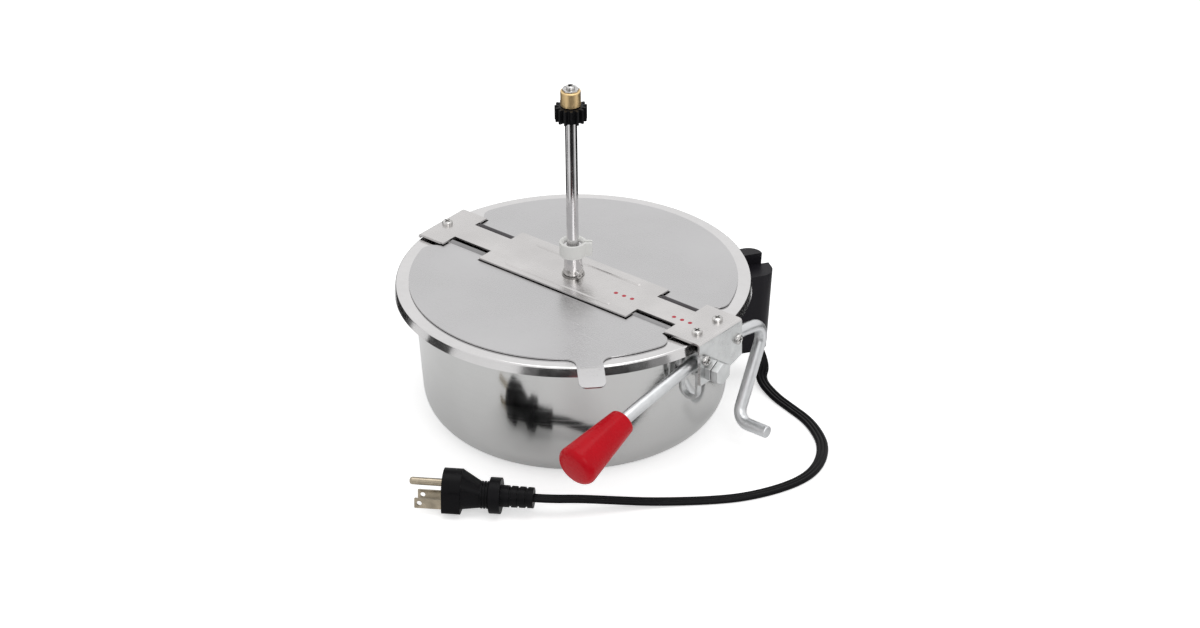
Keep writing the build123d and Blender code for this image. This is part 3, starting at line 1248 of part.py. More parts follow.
# Plug: grounded two-blade type. The body has a face block with an arched top, a waist with
# finger ridges, a shoulder and a tapered tail that the cord leaves.
with BuildPart() as plug_body:
    arch_foot = PLUG_FACE_TOP - PLUG_FACE_WIDTH / 2
    with BuildSketch(plug_plane(0)) as plug_outline:
        with BuildLine():
            Polyline(
                (-PLUG_FACE_WIDTH / 2, arch_foot),
                (-PLUG_FACE_WIDTH / 2, -PLUG_FACE_DROP),
                (PLUG_FACE_WIDTH / 2, -PLUG_FACE_DROP),
                (PLUG_FACE_WIDTH / 2, arch_foot),
            )
            ThreePointArc(
                (PLUG_FACE_WIDTH / 2, arch_foot),
                (0, PLUG_FACE_TOP),
                (-PLUG_FACE_WIDTH / 2, arch_foot),
            )
        make_face()
        fillet(plug_outline.vertices().sort_by(Axis.Z)[:2], PLUG_FOOT_ROUND)
    extrude(amount=PLUG_BLOCK)
    with BuildSketch(plug_plane(PLUG_BLOCK)):
        with Locations((0, (PLUG_FACE_TOP - PLUG_FACE_DROP) / 2)):
            RectangleRounded(
                PLUG_FACE_WIDTH - 2 * PLUG_BACK_INSET,
                PLUG_FACE_TOP + PLUG_FACE_DROP - 2 * PLUG_BACK_INSET,
                PLUG_BACK_ROUND,
            )
    with BuildSketch(plug_plane(PLUG_WAIST)):
        RectangleRounded(2 * PLUG_WAIST_RADIUS, 2 * PLUG_WAIST_RADIUS, PLUG_WAIST_ROUND)
    loft()
    with BuildSketch(plug_plane(PLUG_WAIST)):
        Circle(PLUG_WAIST_RADIUS)
    extrude(amount=PLUG_GRIP_END - PLUG_WAIST)
    ridge_pitch = (PLUG_GRIP_END - PLUG_WAIST) / PLUG_RIDGES
    for ridge in range(PLUG_RIDGES):
        with BuildSketch(plug_plane(PLUG_WAIST + ridge * ridge_pitch)):
            Circle(PLUG_RIDGE_RADIUS)
        extrude(amount=ridge_pitch / 2)
    with BuildSketch(plug_plane(PLUG_GRIP_END)):
        Circle(PLUG_SHOULDER_RADIUS)
    extrude(amount=PLUG_SHOULDER_END - PLUG_GRIP_END)
    with BuildSketch(plug_plane(PLUG_SHOULDER_END)):
        Circle(PLUG_TAIL_RADIUS)
    with BuildSketch(plug_plane(PLUG_LENGTH)):
        Circle(PLUG_TAIL_TIP_RADIUS)
    loft()
    groove_pitch = (PLUG_LENGTH - PLUG_SHOULDER_END) / (PLUG_TAIL_GROOVES + 1)
    for groove in range(1, PLUG_TAIL_GROOVES + 1):
        along = PLUG_SHOULDER_END + groove * groove_pitch
        tail_radius = PLUG_TAIL_RADIUS + (PLUG_TAIL_TIP_RADIUS - PLUG_TAIL_RADIUS) * (
            groove / (PLUG_TAIL_GROOVES + 1)
        )
        with BuildSketch(plug_plane(along)):
            Circle(PLUG_SHOULDER_RADIUS)
            Circle(tail_radius - PLUG_GROOVE_DEPTH, mode=Mode.SUBTRACT)
        extrude(amount=PLUG_GROOVE, mode=Mode.SUBTRACT)
    with BuildSketch(plug_plane(0)):
        with Locations((-BLADE_SPACING / 2, -BLADE_DROP), (BLADE_SPACING / 2, -BLADE_DROP)):
            Rectangle(BLADE_GAUGE, BLADE_WIDTH)
        with Locations((0, GROUND_PIN_RISE - BLADE_DROP)):
            Circle(GROUND_PIN_RADIUS)
    extrude(amount=BLADE_ROOT, mode=Mode.SUBTRACT)
save(plug_body.part, "plug_body")

with BuildPart() as plug_blades:
    with BuildSketch(plug_plane(BLADE_ROOT)):
        with Locations((-BLADE_SPACING / 2, -BLADE_DROP), (BLADE_SPACING / 2, -BLADE_DROP)):
            Rectangle(BLADE_GAUGE, BLADE_WIDTH)
    extrude(amount=-BLADE_ROOT - BLADE_LENGTH)
    blade_tips = plug_blades.faces().sort_by(Axis((0, 0, 0), -PLUG_DIRECTION))[-2:].edges()
    chamfer(blade_tips.filter_by(Axis((0, 0, 0), PLUG_UP)), BLADE_CHAMFER)
    blade_side = Plane(
        origin=PLUG_FACE - PLUG_DIRECTION * (BLADE_LENGTH - BLADE_WIDTH / 2) - PLUG_UP * BLADE_DROP,
        x_dir=PLUG_DIRECTION,
        z_dir=PLUG_ACROSS,
    )
    with BuildSketch(blade_side):
        Circle(BLADE_HOLE_RADIUS)
    extrude(amount=BLADE_SPACING, both=True, mode=Mode.SUBTRACT)
save(plug_blades.part, "plug_blades")

with BuildPart() as ground_pin:
    with BuildSketch(plug_plane(BLADE_ROOT)):
        with Locations((0, GROUND_PIN_RISE - BLADE_DROP)):
            Circle(GROUND_PIN_RADIUS)
    extrude(amount=-BLADE_ROOT - GROUND_PIN_LENGTH)
    tip_rim = ground_pin.edges().filter_by(GeomType.CIRCLE).sort_by(Axis((0, 0, 0), -PLUG_DIRECTION))[-1]
    fillet(tip_rim, GROUND_PIN_ROUND)
save(ground_pin.part, "ground_pin")

print("cord bend radii, mm:", [round(radius, 1) for radius in corner_radii])
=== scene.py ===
import json
import math

import bmesh
import bpy
from bpy.props import FloatProperty, FloatVectorProperty, PointerProperty
from mathutils import Matrix, Vector

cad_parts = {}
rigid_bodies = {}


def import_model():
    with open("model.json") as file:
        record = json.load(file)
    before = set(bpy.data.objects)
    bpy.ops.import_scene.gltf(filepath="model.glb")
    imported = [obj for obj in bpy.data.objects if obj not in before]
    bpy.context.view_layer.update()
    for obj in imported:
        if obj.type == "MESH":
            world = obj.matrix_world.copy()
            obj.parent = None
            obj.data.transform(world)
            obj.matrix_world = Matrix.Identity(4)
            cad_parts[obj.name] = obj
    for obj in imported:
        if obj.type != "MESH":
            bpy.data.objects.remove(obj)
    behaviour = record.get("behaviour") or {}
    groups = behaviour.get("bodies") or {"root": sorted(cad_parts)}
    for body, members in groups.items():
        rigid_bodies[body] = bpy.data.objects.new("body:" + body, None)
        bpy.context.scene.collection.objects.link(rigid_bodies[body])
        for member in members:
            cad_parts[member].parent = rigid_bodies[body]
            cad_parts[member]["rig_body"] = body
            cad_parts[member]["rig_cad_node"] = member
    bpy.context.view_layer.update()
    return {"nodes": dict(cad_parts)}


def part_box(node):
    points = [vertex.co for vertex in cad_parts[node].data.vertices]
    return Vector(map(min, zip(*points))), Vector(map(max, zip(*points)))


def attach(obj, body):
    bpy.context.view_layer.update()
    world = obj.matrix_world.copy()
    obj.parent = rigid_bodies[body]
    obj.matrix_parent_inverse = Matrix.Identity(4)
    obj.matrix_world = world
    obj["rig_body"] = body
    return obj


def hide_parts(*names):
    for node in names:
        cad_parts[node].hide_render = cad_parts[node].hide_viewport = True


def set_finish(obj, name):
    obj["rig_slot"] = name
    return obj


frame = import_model()

bl_info = {
    "name": "Popcorn kettle dresser",
    "version": (1, 0, 0),
    "blender": (4, 5, 0),
    "location": "View3D > Sidebar > Kettle",
    "description": "Dresses the packed kettle with smooth turned, bent and moulded pieces and their finishes",
    "category": "Object",
}

# ---------------------------------------------------------------- places from the frame
PAN_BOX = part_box("inner_pan")
BAR_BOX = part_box("crossbar")

# ---------------------------------------------------------------- cord and grip
# Control points of the cord, from the strain relief's tip to the plug's tail.
CORD_ROUTE = (
    (0.0700, 0.1014, 0.0183),
    (0.0764, 0.1001, 0.0100),
    (0.0782, 0.0920, 0.0034),
    (0.0968, 0.0832, 0.0015),
    (0.1135, 0.0781, 0.0015),
    (0.1301, 0.0732, 0.0015),
    (0.1444, 0.0653, 0.0015),
    (0.1574, 0.0548, 0.0015),
    (0.1670, 0.0403, 0.0015),
    (0.1720, 0.0246, 0.0015),
    (0.1713, 0.0090, 0.0015),
    (0.1653, -0.0086, 0.0015),
    (0.1555, -0.0260, 0.0015),
    (0.1435, -0.0395, 0.0015),
    (0.1295, -0.0525, 0.0015),
    (0.1140, -0.0688, 0.0032),
    (0.0998, -0.0848, 0.0066),
    (0.0870, -0.1006, 0.0104),
    (0.0756, -0.1130, 0.0118),
    (0.0662, -0.1188, 0.0118),
)
# The cord twists a little where it leaves the strain relief.
CORD_TILT = {1: -0.35, 2: -0.25}
CORD_LOBE_STEPS = 12
GRIP_TIP = Vector((0.1100, -0.1334, 0.0556))
GRIP_AIM = Vector((0.1100, -0.0820, 0.0688))
# The grip's free end is a shallow dome inside a rounded shoulder.
GRIP_DOME_SHARE = 0.5
GRIP_DOME_DROP = 0.0004
GRIP_SHOULDER = 0.0014
GRIP_SHOULDER_BEND = 0.0046
GRIP_NECK_BEND = 0.0012

# ---------------------------------------------------------------- sheet and crossbar
# The shell's flange bends outwards and stops this many sheets short of the rim.
FLANGE_BEND = 0.0010
FLANGE_STOP = 1.5
HINGE_LINE = Vector((0.0, 0.0137, 0.09165))
KNUCKLE_REACH = 0.0024
BRACKET_FACING = 0.9
# Places across and along the crossbar of its enamel dots, which lie on its flat face.
ENAMEL_DOTS = ((0.0368, -0.0025), (0.0432, -0.0023), (0.0495, -0.0021))
ENAMEL_DOTS += ((0.0841, -0.0035), (0.0903, -0.0033), (0.0965, -0.0032))
BEAD_HEIGHT = 0.0007
DOT_LIFT = 0.00002
DOT_CROWN = 0.00003
DOT_BORDER_SHARE = 0.25

# ---------------------------------------------------------------- edges and meshing
# Widths that sharp edges are rounded to.
SCREW_EDGE = 0.00015
LID_EDGE = 0.00018
THIN_EDGE = 0.0002
BLADE_EDGE = 0.00025
PLAIN_EDGE = 0.0003
BOLD_EDGE = 0.0004
MOULDED_EDGE = 0.0005
# Edges are rounded where faces meet at more than this angle, in degrees.
ROUND_ABOVE = 38.0
STUD_ROUND_ABOVE = 60.0
FLAT_WITHIN = 0.3
WELD_WITHIN = 2e-6
JOIN_WITHIN = 1e-6
SPIN_STEPS = 240
# Side of the small plane that is merged to the first point of an outline.
START_PLANE = 0.002

# ---------------------------------------------------------------- stage
CAMERA_PLACE = (1.53222, -1.81240, 1.42360)
CAMERA_TURN = (60.20278405, 0.57907192, 39.48022035)
CAMERA_LENS = 129.4068
CAMERA_SENSOR = 36.0
CAMERA_NEAR = 0.05
# Square softboxes: name, place, side and power.
LAMPS = (
    ("key_softbox", (0.10, 0.10, 1.75), 1.3, 8.5),
    ("fill_softbox", (1.3, -0.9, 1.1), 0.9, 5.0),
)
LAMP_AIM = Vector((0.0, 0.0, 0.05))
SURROUND_LIGHT = 0.62
FLOOR_RADIUS = 1.2
FLOOR_SPREAD = 6
FLOOR_LIFT = 0.52
FLOOR_MIRRORED_LIFT = 0.14
FLOOR_TONES = (0.995, 1.005)
# Flat cards round the kettle: name, first and last bearing in degrees, and tone.
DARK_CARDS = (
    ("front_card", -70.0, -20.0, 0.012),
    ("front_left_card", -79.0, -70.0, 0.14),
    ("front_right_card", -20.0, -9.0, 0.10),
    ("front_right_pale_card", -9.0, 3.0, 0.30),
    ("left_card", -138.0, -121.0, 0.05),
    ("rear_card", 38.0, 207.0, 0.012),
)
CARD_NEAR = 0.235
CARD_FAR = 1.6
CARD_LIFT = 0.0006
CARD_STEPS = 32

# ---------------------------------------------------------------- grain and plain colours
# Grain scales for each axis. The low number is the way that the grain runs.
BAR_GRAIN = (60, 2600, 2600)
DRUM_GRAIN = (25, 25, 2600)
ROD_GRAIN = (1500, 120, 1500)
BLADE_GRAIN = (1500, 300, 1500)
SHAFT_GRAIN = (1800, 1800, 60)
TURNED_GRAIN = (150, 150, 4200)
SHEATH_BROWN = (0.12, 0.10, 0.09)
CERAMIC_CREAM = (0.72, 0.69, 0.62)
LEAD_BLACK = (0.02, 0.02, 0.02)
LEAD_WHITE = (0.75, 0.75, 0.73)
LEAD_GREEN = (0.03, 0.30, 0.08)


def length(name, about, default):
    """A size in metres that the panel shows."""
    return FloatProperty(name=name, description=about, default=default, unit="LENGTH", min=0.0, precision=5)


def paint(name, about, default):
    """A colour that the panel shows."""
    return FloatVectorProperty(
        name=name, description=about, default=default, subtype="COLOR", size=3, min=0.0, max=1.0
    )


class KettleSizes(bpy.types.PropertyGroup):
    """Sizes of the turned and moulded pieces."""

    sheet: length("Sheet", "Thickness of the pan and shell sheet", 0.0009)
    rim_radius: length("Rim radius", "Outside of the rolled rim", PAN_BOX[1].x)
    rim_top: length("Rim height", "Top of the rim above the base", PAN_BOX[1].z)
    rim_band: length("Rim band", "Depth of the rim's turned-down edge", 0.0065)
    rim_roll: length("Rim roll", "Radius of the rim's outer bend", 0.0014)
    rim_lean: length("Rim lean", "How far the rim's band leans in at its top", 0.0010)
    pan_floor: length("Pan floor", "Height of the pan's floor", 0.0380)
    pan_foot: length("Pan foot radius", "Pan wall's radius at the floor", 0.0930)
    pan_mouth: length("Pan mouth radius", "Pan wall's radius at the rim", 0.0966)
    pan_corner: length("Pan corner", "Bend between pan floor and wall", 0.0180)
    pan_neck: length("Pan neck", "Bend between pan wall and rim", 0.0024)
    wall_foot: length("Shell foot radius", "Shell wall's radius at the base", 0.0954)
    wall_top: length("Shell top radius", "Shell wall's radius under the rim", 0.1012)
    wall_corner: length("Shell corner", "Bend between base and shell wall", 0.0206)
    base_opening: length("Base opening", "Radius of the opening in the base", 0.0560)
    stud_circle: length("Stud circle", "Radius that the heater studs stand on", 0.0400)
    stud_radius: length("Stud radius", "Radius of the heater studs", 0.0025)
    stud_foot: length("Stud foot", "Height of the studs' lower ends", 0.0175)
    grip_length: length("Grip length", "Length of the handle grip", 0.0488)
    grip_tip: length("Grip tip radius", "Radius of the grip at its free end", 0.0139)
    grip_neck: length("Grip neck radius", "Radius of the grip where the rod enters", 0.0085)
    grip_wall: length("Grip end wall", "Grip material beyond the rod's end", 0.0060)
    rod_radius: length("Rod radius", "Radius of the support rod", 0.0040)
    cord_width: length("Cord width", "Width of the flat cord", 0.0075)
    cord_thickness: length("Cord thickness", "Thickness of the flat cord", 0.0030)
    cord_groove: length("Cord groove", "Depth of the grooves between the cores", 0.0004)
    cord_length: length("Cord length", "Length of cord outside the housing", 0.3260)
    dot_radius: length("Dot radius", "Radius of the enamel dots on the crossbar", 0.0014)


class KettleColours(bpy.types.PropertyGroup):
    """Colours of the finishes."""

    drum: paint("Drum steel", "Polished shell and pan", (0.56, 0.56, 0.555))
    rim: paint("Rim steel", "Bright inner pan and its rolled rim", (0.70, 0.69, 0.69))
    lid: paint("Lid steel", "Satin steel of the lids", (0.54, 0.535, 0.54))
    bar: paint("Crossbar steel", "Rolled steel of the crossbar", (0.61, 0.595, 0.59))
    # Painted shade: both knuckle colours are darker than the lid steel and stand in for the shade on the
    # rolled knuckles. The rear lid's knuckles, which sit in the crossbar's notches, are painted near black.
    front_knuckle_painted_shade: paint("Knuckle steel", "Rolled knuckles of the front lid", (0.30, 0.295, 0.30))
    rear_knuckle_painted_shade: paint("Shaded knuckle steel", "Rolled knuckles of the rear lid", (0.085, 0.08, 0.085))
    bush: paint("Bush metal", "Plated bush in the crossbar", (0.32, 0.31, 0.30))
    bright: paint("Plated screws", "Bright plated small parts", (0.56, 0.55, 0.54))
    shaft: paint("Shaft steel", "Drive shaft and its sleeve", (0.66, 0.65, 0.655))
    zinc: paint("Zinc hardware", "Galvanised clamp, nut and bolt", (0.62, 0.63, 0.63))
    aluminium: paint("Rod aluminium", "Support rod", (0.66, 0.67, 0.68))
    red: paint("Grip red", "Glossy moulded grip", (0.50, 0.004, 0.012))
    enamel: paint("Dot enamel", "Red dots on the crossbar", (0.46, 0.012, 0.030))
    gear: paint("Gear black", "Moulded drive gear", (0.006, 0.006, 0.007))
    brass: paint("Brass", "Top bearing", (0.80, 0.59, 0.31))
    nylon: paint("Collar nylon", "Translucent split collar", (0.97, 0.97, 0.97))
    housing: paint("Housing black", "Terminal housing", (0.010, 0.009, 0.012))
    cord: paint("Cord black", "Cord and plug", (0.0035, 0.0033, 0.0042))
    contact: paint("Contact metal", "Plug blades and pin", (0.36, 0.31, 0.235))
    floor: paint("Floor", "Plain studio floor", (0.86, 0.86, 0.86))


# ---------------------------------------------------------------- finishes
def add_node(tree, kind, links=None, **settings):
    """A shader node with its settings, its sockets linked or filled by name or number."""
    made = tree.nodes.new("ShaderNode" + kind)
    for key, value in settings.items():
        setattr(made, key, value)
    for key, value in (links or {}).items():
        socket = made.inputs[key]
        if isinstance(value, bpy.types.NodeSocket):
            tree.links.new(value, socket)
        else:
            socket.default_value = value
    return made


def noise(tree, scale, detail=3.0):
    """Noise on the piece's own coordinates, stretched by a scale for each axis."""
    place = add_node(tree, "TexCoord").outputs["Object"]
    mapping = add_node(tree, "Mapping", {"Vector": place, "Scale": scale})
    field = add_node(tree, "TexNoise", {"Vector": mapping.outputs["Vector"], "Scale": 1.0, "Detail": detail})
    return field.outputs["Fac"]


def even(scale):
    """The same grain scale on all three axes."""
    return (scale, scale, scale)


def spread(tree, field, low, high, start=0.3, end=0.7):
    """A field remapped to run from low to high."""
    made = add_node(
        tree,
        "MapRange",
        {"Value": field, "From Min": start, "From Max": end, "To Min": low, "To Max": high},
    )
    return made.outputs["Result"]


def blend(tree, factor, first, second):
    """Mix of two colours."""
    made = add_node(tree, "Mix", {0: factor, 6: first, 7: second}, data_type="RGBA")
    return made.outputs[2]


def tint(colour, factor):
    """A colour made lighter or darker, with alpha."""
    return (*(min(1.0, max(0.0, part * factor)) for part in colour), 1.0)


def finish(
    name,
    colour,
    roughness,
    metallic=0.0,
    grain=(600.0, 600.0, 600.0),
    grain_depth=0.1,
    grain_gloss=0.05,
    grain_tone=0.03,
    cloud=25.0,
    cloud_tone=0.08,
    cloud_gloss=0.05,
    wave=0.0,
    wave_scale=14.0,
    **shader_values,
):
    """Surface with fine grain in its height and gloss, cloudy tone, and slow waves in its form."""
    material = bpy.data.materials.get(name)
    if material:
        return material
    material = bpy.data.materials.new(name)
    material.use_nodes = True
    material.diffuse_color = tint(colour, 1.0)
    material.metallic = metallic
    tree = material.node_tree
    shader = tree.nodes["Principled BSDF"]
    fine = noise(tree, grain, 2.0)
    clouds = noise(tree, (cloud, cloud, cloud), 4.0)
    tone = blend(
        tree,
        spread(tree, clouds, 0.0, 1.0),
        tint(colour, 1.0 - cloud_tone),
        tint(colour, 1.0 + cloud_tone),
    )
    streaks = blend(tree, spread(tree, fine, 0.0, 1.0), tint((1, 1, 1), 1 - grain_tone), (1, 1, 1, 1))
    shade = add_node(tree, "Mix", {0: 1.0, 6: tone, 7: streaks}, data_type="RGBA", blend_type="MULTIPLY")
    tree.links.new(shade.outputs[2], shader.inputs["Base Color"])
    gloss = add_node(
        tree,
        "Math",
        {
            0: spread(tree, clouds, roughness - cloud_gloss, roughness + cloud_gloss),
            1: spread(tree, fine, -grain_gloss, grain_gloss),
        },
        operation="ADD",
        use_clamp=True,
    )
    tree.links.new(gloss.outputs["Value"], shader.inputs["Roughness"])
    bump = add_node(tree, "Bump", {"Strength": grain_depth, "Distance": 0.0001, "Height": fine})
    if wave:
        swell = noise(tree, (wave_scale, wave_scale, wave_scale), 1.0)
        waves = add_node(tree, "Bump", {"Strength": wave, "Distance": 0.001, "Height": swell})
        tree.links.new(waves.outputs["Normal"], bump.inputs["Normal"])
    tree.links.new(bump.outputs["Normal"], shader.inputs["Normal"])
    shader.inputs["Metallic"].default_value = metallic
    for key, value in shader_values.items():
        shader.inputs[key.replace("_", " ")].default_value = value
    return material


def finishes(context):
    """Every finish by name, made once from the panel's colours."""
    c = context.scene.kettle_colours
    return {
        "polished_steel": finish(
            "polished_drum_steel", c.drum, 0.11, 1.0, DRUM_GRAIN, grain_depth=0.06,
            grain_gloss=0.05, cloud=18.0, cloud_tone=0.04, cloud_gloss=0.03, wave=0.05, wave_scale=10.0,
        ),
        "rim_steel": finish(
            "bright_pan_steel", c.rim, 0.16, 1.0, even(300), grain_depth=0.04,
            grain_gloss=0.03, cloud_tone=0.03, cloud_gloss=0.03,
        ),
        "satin_steel": finish(
            "satin_lid_steel", c.lid, 0.30, 1.0, BAR_GRAIN, grain_depth=0.02,
            grain_gloss=0.03, grain_tone=0.015, cloud=14.0, cloud_tone=0.04, cloud_gloss=0.04, wave=0.06,
            wave_scale=9.0,
        ),
        "bar_steel": finish(
            "rolled_bar_steel", c.bar, 0.27, 1.0, BAR_GRAIN, grain_depth=0.03,
            grain_gloss=0.05, grain_tone=0.02, cloud=30.0, cloud_tone=0.07, cloud_gloss=0.06, wave=0.05,
            wave_scale=25.0,
        ),
        "plated_screws": finish(
            "plated_screw_metal", c.bright, 0.12, 1.0, even(1500), grain_depth=0.05, cloud=420.0,
            cloud_tone=0.45,
        ),
        "zinc_hardware": finish(
            "galvanised_zinc", c.zinc, 0.38, 1.0, even(700), grain_depth=0.16,
            cloud=160.0, cloud_tone=0.14, cloud_gloss=0.10,
        ),
        "bracket_steel": finish(
            "mottled_bracket_steel", c.zinc, 0.34, 1.0, even(700), grain_depth=0.14,
            cloud=130.0, cloud_tone=0.16, cloud_gloss=0.12,
        ),
        "wire_steel": finish("hinge_wire_steel", c.bright, 0.25, 1.0, even(1200), cloud=120.0),
        "rod_aluminium": finish(
            "drawn_rod_aluminium", c.aluminium, 0.36, 1.0, ROD_GRAIN, grain_depth=0.20,
            cloud=90.0, cloud_tone=0.10, cloud_gloss=0.08,
        ),
        "grip_red": finish(
            "red_grip_moulding", c.red, 0.28, 0.0, even(320), grain_depth=0.10, cloud=60.0,
            cloud_tone=0.05, cloud_gloss=0.05, Specular_IOR_Level=0.09, Coat_Weight=0.05, Coat_Roughness=0.12,
        ),
        "shaft_steel": finish(
            "polished_shaft_steel", c.shaft, 0.12, 1.0, SHAFT_GRAIN, grain_depth=0.06, cloud=70.0,
        ),
        "gear_black": finish(
            "gear_moulding", c.gear, 0.42, 0.0, even(900), grain_depth=0.16, cloud=120.0,
            cloud_tone=0.2, Specular_IOR_Level=0.14,
        ),
        "brass": finish(
            "turned_brass", c.brass, 0.42, 1.0, TURNED_GRAIN, grain_depth=0.12, cloud=110.0,
            cloud_tone=0.07,
        ),
        "bush_metal": finish("plated_bush_metal", c.bush, 0.30, 1.0, even(900), cloud=90.0),
        # Painted shade: the two knuckle finishes are darker copies of the lid steel, darkest for the rear
        # lid's knuckles.
        "front_knuckle_painted_shade_steel": finish(
            "front_knuckle_painted_shade_finish", c.front_knuckle_painted_shade, 0.30, 1.0, BAR_GRAIN, grain_depth=0.05, cloud=60.0,
            cloud_tone=0.08,
        ),
        "rear_knuckle_painted_shade_steel": finish(
            "rear_knuckle_painted_shade_steel", c.rear_knuckle_painted_shade, 0.34, 1.0, BAR_GRAIN, grain_depth=0.05, cloud=60.0,
            cloud_tone=0.12,
        ),
        "collar_nylon": finish(
            "collar_nylon", c.nylon, 0.32, 0.0, even(700), grain_depth=0.08, cloud=140.0,
            cloud_tone=0.05, Subsurface_Weight=0.35, Subsurface_Scale=0.002,
        ),
        "stirrer_aluminium": finish(
            "cast_stirrer_aluminium", c.aluminium, 0.42, 1.0, even(900), grain_depth=0.22, cloud=90.0,
            cloud_tone=0.10,
        ),
        "base_steel": finish(
            "pressed_base_steel", c.zinc, 0.36, 1.0, even(900), grain_depth=0.12, cloud=60.0,
            cloud_tone=0.08,
        ),
        "element_sheath": finish(
            "oxidised_element_sheath", SHEATH_BROWN, 0.55, 0.6, even(1400), grain_depth=0.3,
            cloud=90.0, cloud_tone=0.25,
        ),
        "ceramic": finish(
            "fired_ceramic", CERAMIC_CREAM, 0.6, 0.0, even(1600), grain_depth=0.3, cloud=150.0,
        ),
        "fuse_metal": finish("tinned_fuse_metal", c.bright, 0.3, 1.0, even(1200), cloud=150.0),
        "housing_black": finish(
            "housing_moulding", c.housing, 0.38, 0.0, even(1100), grain_depth=0.22, cloud=50.0,
            cloud_tone=0.15, cloud_gloss=0.05, Specular_IOR_Level=0.16,
        ),
        "cord_black": finish(
            "cord_moulding", c.cord, 0.36, 0.0, even(900), grain_depth=0.12, cloud=90.0,
            cloud_tone=0.2, cloud_gloss=0.06, Specular_IOR_Level=0.10,
        ),
        "contact_brass": finish(
            "nickelled_contact_brass", c.contact, 0.20, 1.0, BLADE_GRAIN, grain_depth=0.10,
            cloud=160.0, cloud_tone=0.25, cloud_gloss=0.08,
        ),
        "lead_live": finish("black_lead_sleeve", LEAD_BLACK, 0.45, 0.0, even(1300)),
        "lead_neutral": finish("white_lead_sleeve", LEAD_WHITE, 0.45, 0.0, even(1300)),
        "lead_earth": finish("green_lead_sleeve", LEAD_GREEN, 0.45, 0.0, even(1300)),
        "enamel": finish("dot_enamel", c.enamel, 0.35, 0.0, even(2500), grain_depth=0.1, cloud=900.0),
    }


# ---------------------------------------------------------------- hand tools
def deselect():
    """Object mode with nothing selected."""
    if bpy.context.mode != "OBJECT":
        bpy.ops.object.mode_set(mode="OBJECT")
    bpy.ops.object.select_all(action="DESELECT")


def pick(piece):
    """The piece alone, selected and active."""
    deselect()
    piece.select_set(True)
    bpy.context.view_layer.objects.active = piece


def edit(piece):
    """The piece in edit mode with all of it selected."""
    pick(piece)
    bpy.ops.object.mode_set(mode="EDIT")
    bpy.ops.mesh.select_mode(type="VERT")
    bpy.ops.mesh.select_all(action="SELECT")


def add_modifier(piece, kind, **settings):
    """A modifier set up and applied at once."""
    pick(piece)
    made = piece.modifiers.new(kind.title(), kind)
    for key, value in settings.items():
        setattr(made, key, value)
    bpy.ops.object.modifier_apply(modifier=made.name)


def settle(piece, name, body, slot, material, *nodes):
    """The finished piece: its place in its mesh, its body, slot, finish and the nodes it stands for."""
    pick(piece)
    bpy.ops.object.transform_apply(location=True, rotation=True, scale=True)
    piece.name = name
    piece.data.name = name
    piece.data.materials.clear()
    piece.data.materials.append(material)
    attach(piece, body)
    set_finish(piece, slot)
    if nodes:
        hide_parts(*nodes)
    deselect()
    return piece


def smooth(piece, degrees):
    """Smooth faces with crisp edges where they meet at more than the angle."""
    pick(piece)
    bpy.ops.object.shade_smooth_by_angle(angle=math.radians(degrees))


def softened(node, width, degrees=32.0):
    """Copy of a node's mesh, merged, with its sharp edges rounded to the width."""
    pick(frame["nodes"][node])
    bpy.ops.object.duplicate(linked=False)
    piece = bpy.context.view_layer.objects.active
    bpy.ops.object.parent_clear(type="CLEAR_KEEP_TRANSFORM")
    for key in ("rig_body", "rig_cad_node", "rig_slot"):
        if key in piece:
            del piece[key]
    if piece.data.has_custom_normals:
        bpy.ops.mesh.customdata_custom_splitnormals_clear()
    edit(piece)
    bpy.ops.mesh.remove_doubles(threshold=WELD_WITHIN)
    bpy.ops.mesh.dissolve_limited(angle_limit=math.radians(FLAT_WITHIN))
    bpy.ops.mesh.select_all(action="DESELECT")
    bpy.ops.object.mode_set(mode="OBJECT")
    if width:
        add_modifier(
            piece,
            "BEVEL",
            width=width,
            segments=2,
            limit_method="ANGLE",
            angle_limit=math.radians(ROUND_ABOVE),
            miter_outer="MITER_ARC",
        )
    smooth(piece, degrees)
    add_modifier(piece, "WEIGHTED_NORMAL", keep_sharp=True, weight=60)
    return piece


def rounded(corners, steps=10):
    """Outline through corners (radius, height, bend), with each bend turned into an arc."""
    outline = []
    for index, (across, up, bend) in enumerate(corners):
        here = Vector((across, up))
        if not bend or index in (0, len(corners) - 1):
            outline.append(here)
            continue
        back = (Vector(corners[index - 1][:2]) - here).normalized()
        ahead = (Vector(corners[index + 1][:2]) - here).normalized()
        half = back.angle(ahead) / 2
        centre = here + (back + ahead).normalized() * bend / math.sin(half)
        start = here + back * bend / math.tan(half) - centre
        end = here + ahead * bend / math.tan(half) - centre
        turn = math.atan2(start.x * end.y - start.y * end.x, start.dot(end))
        for step in range(steps + 1):
            outline.append(centre + Matrix.Rotation(turn * step / steps, 2) @ start)
    return outline


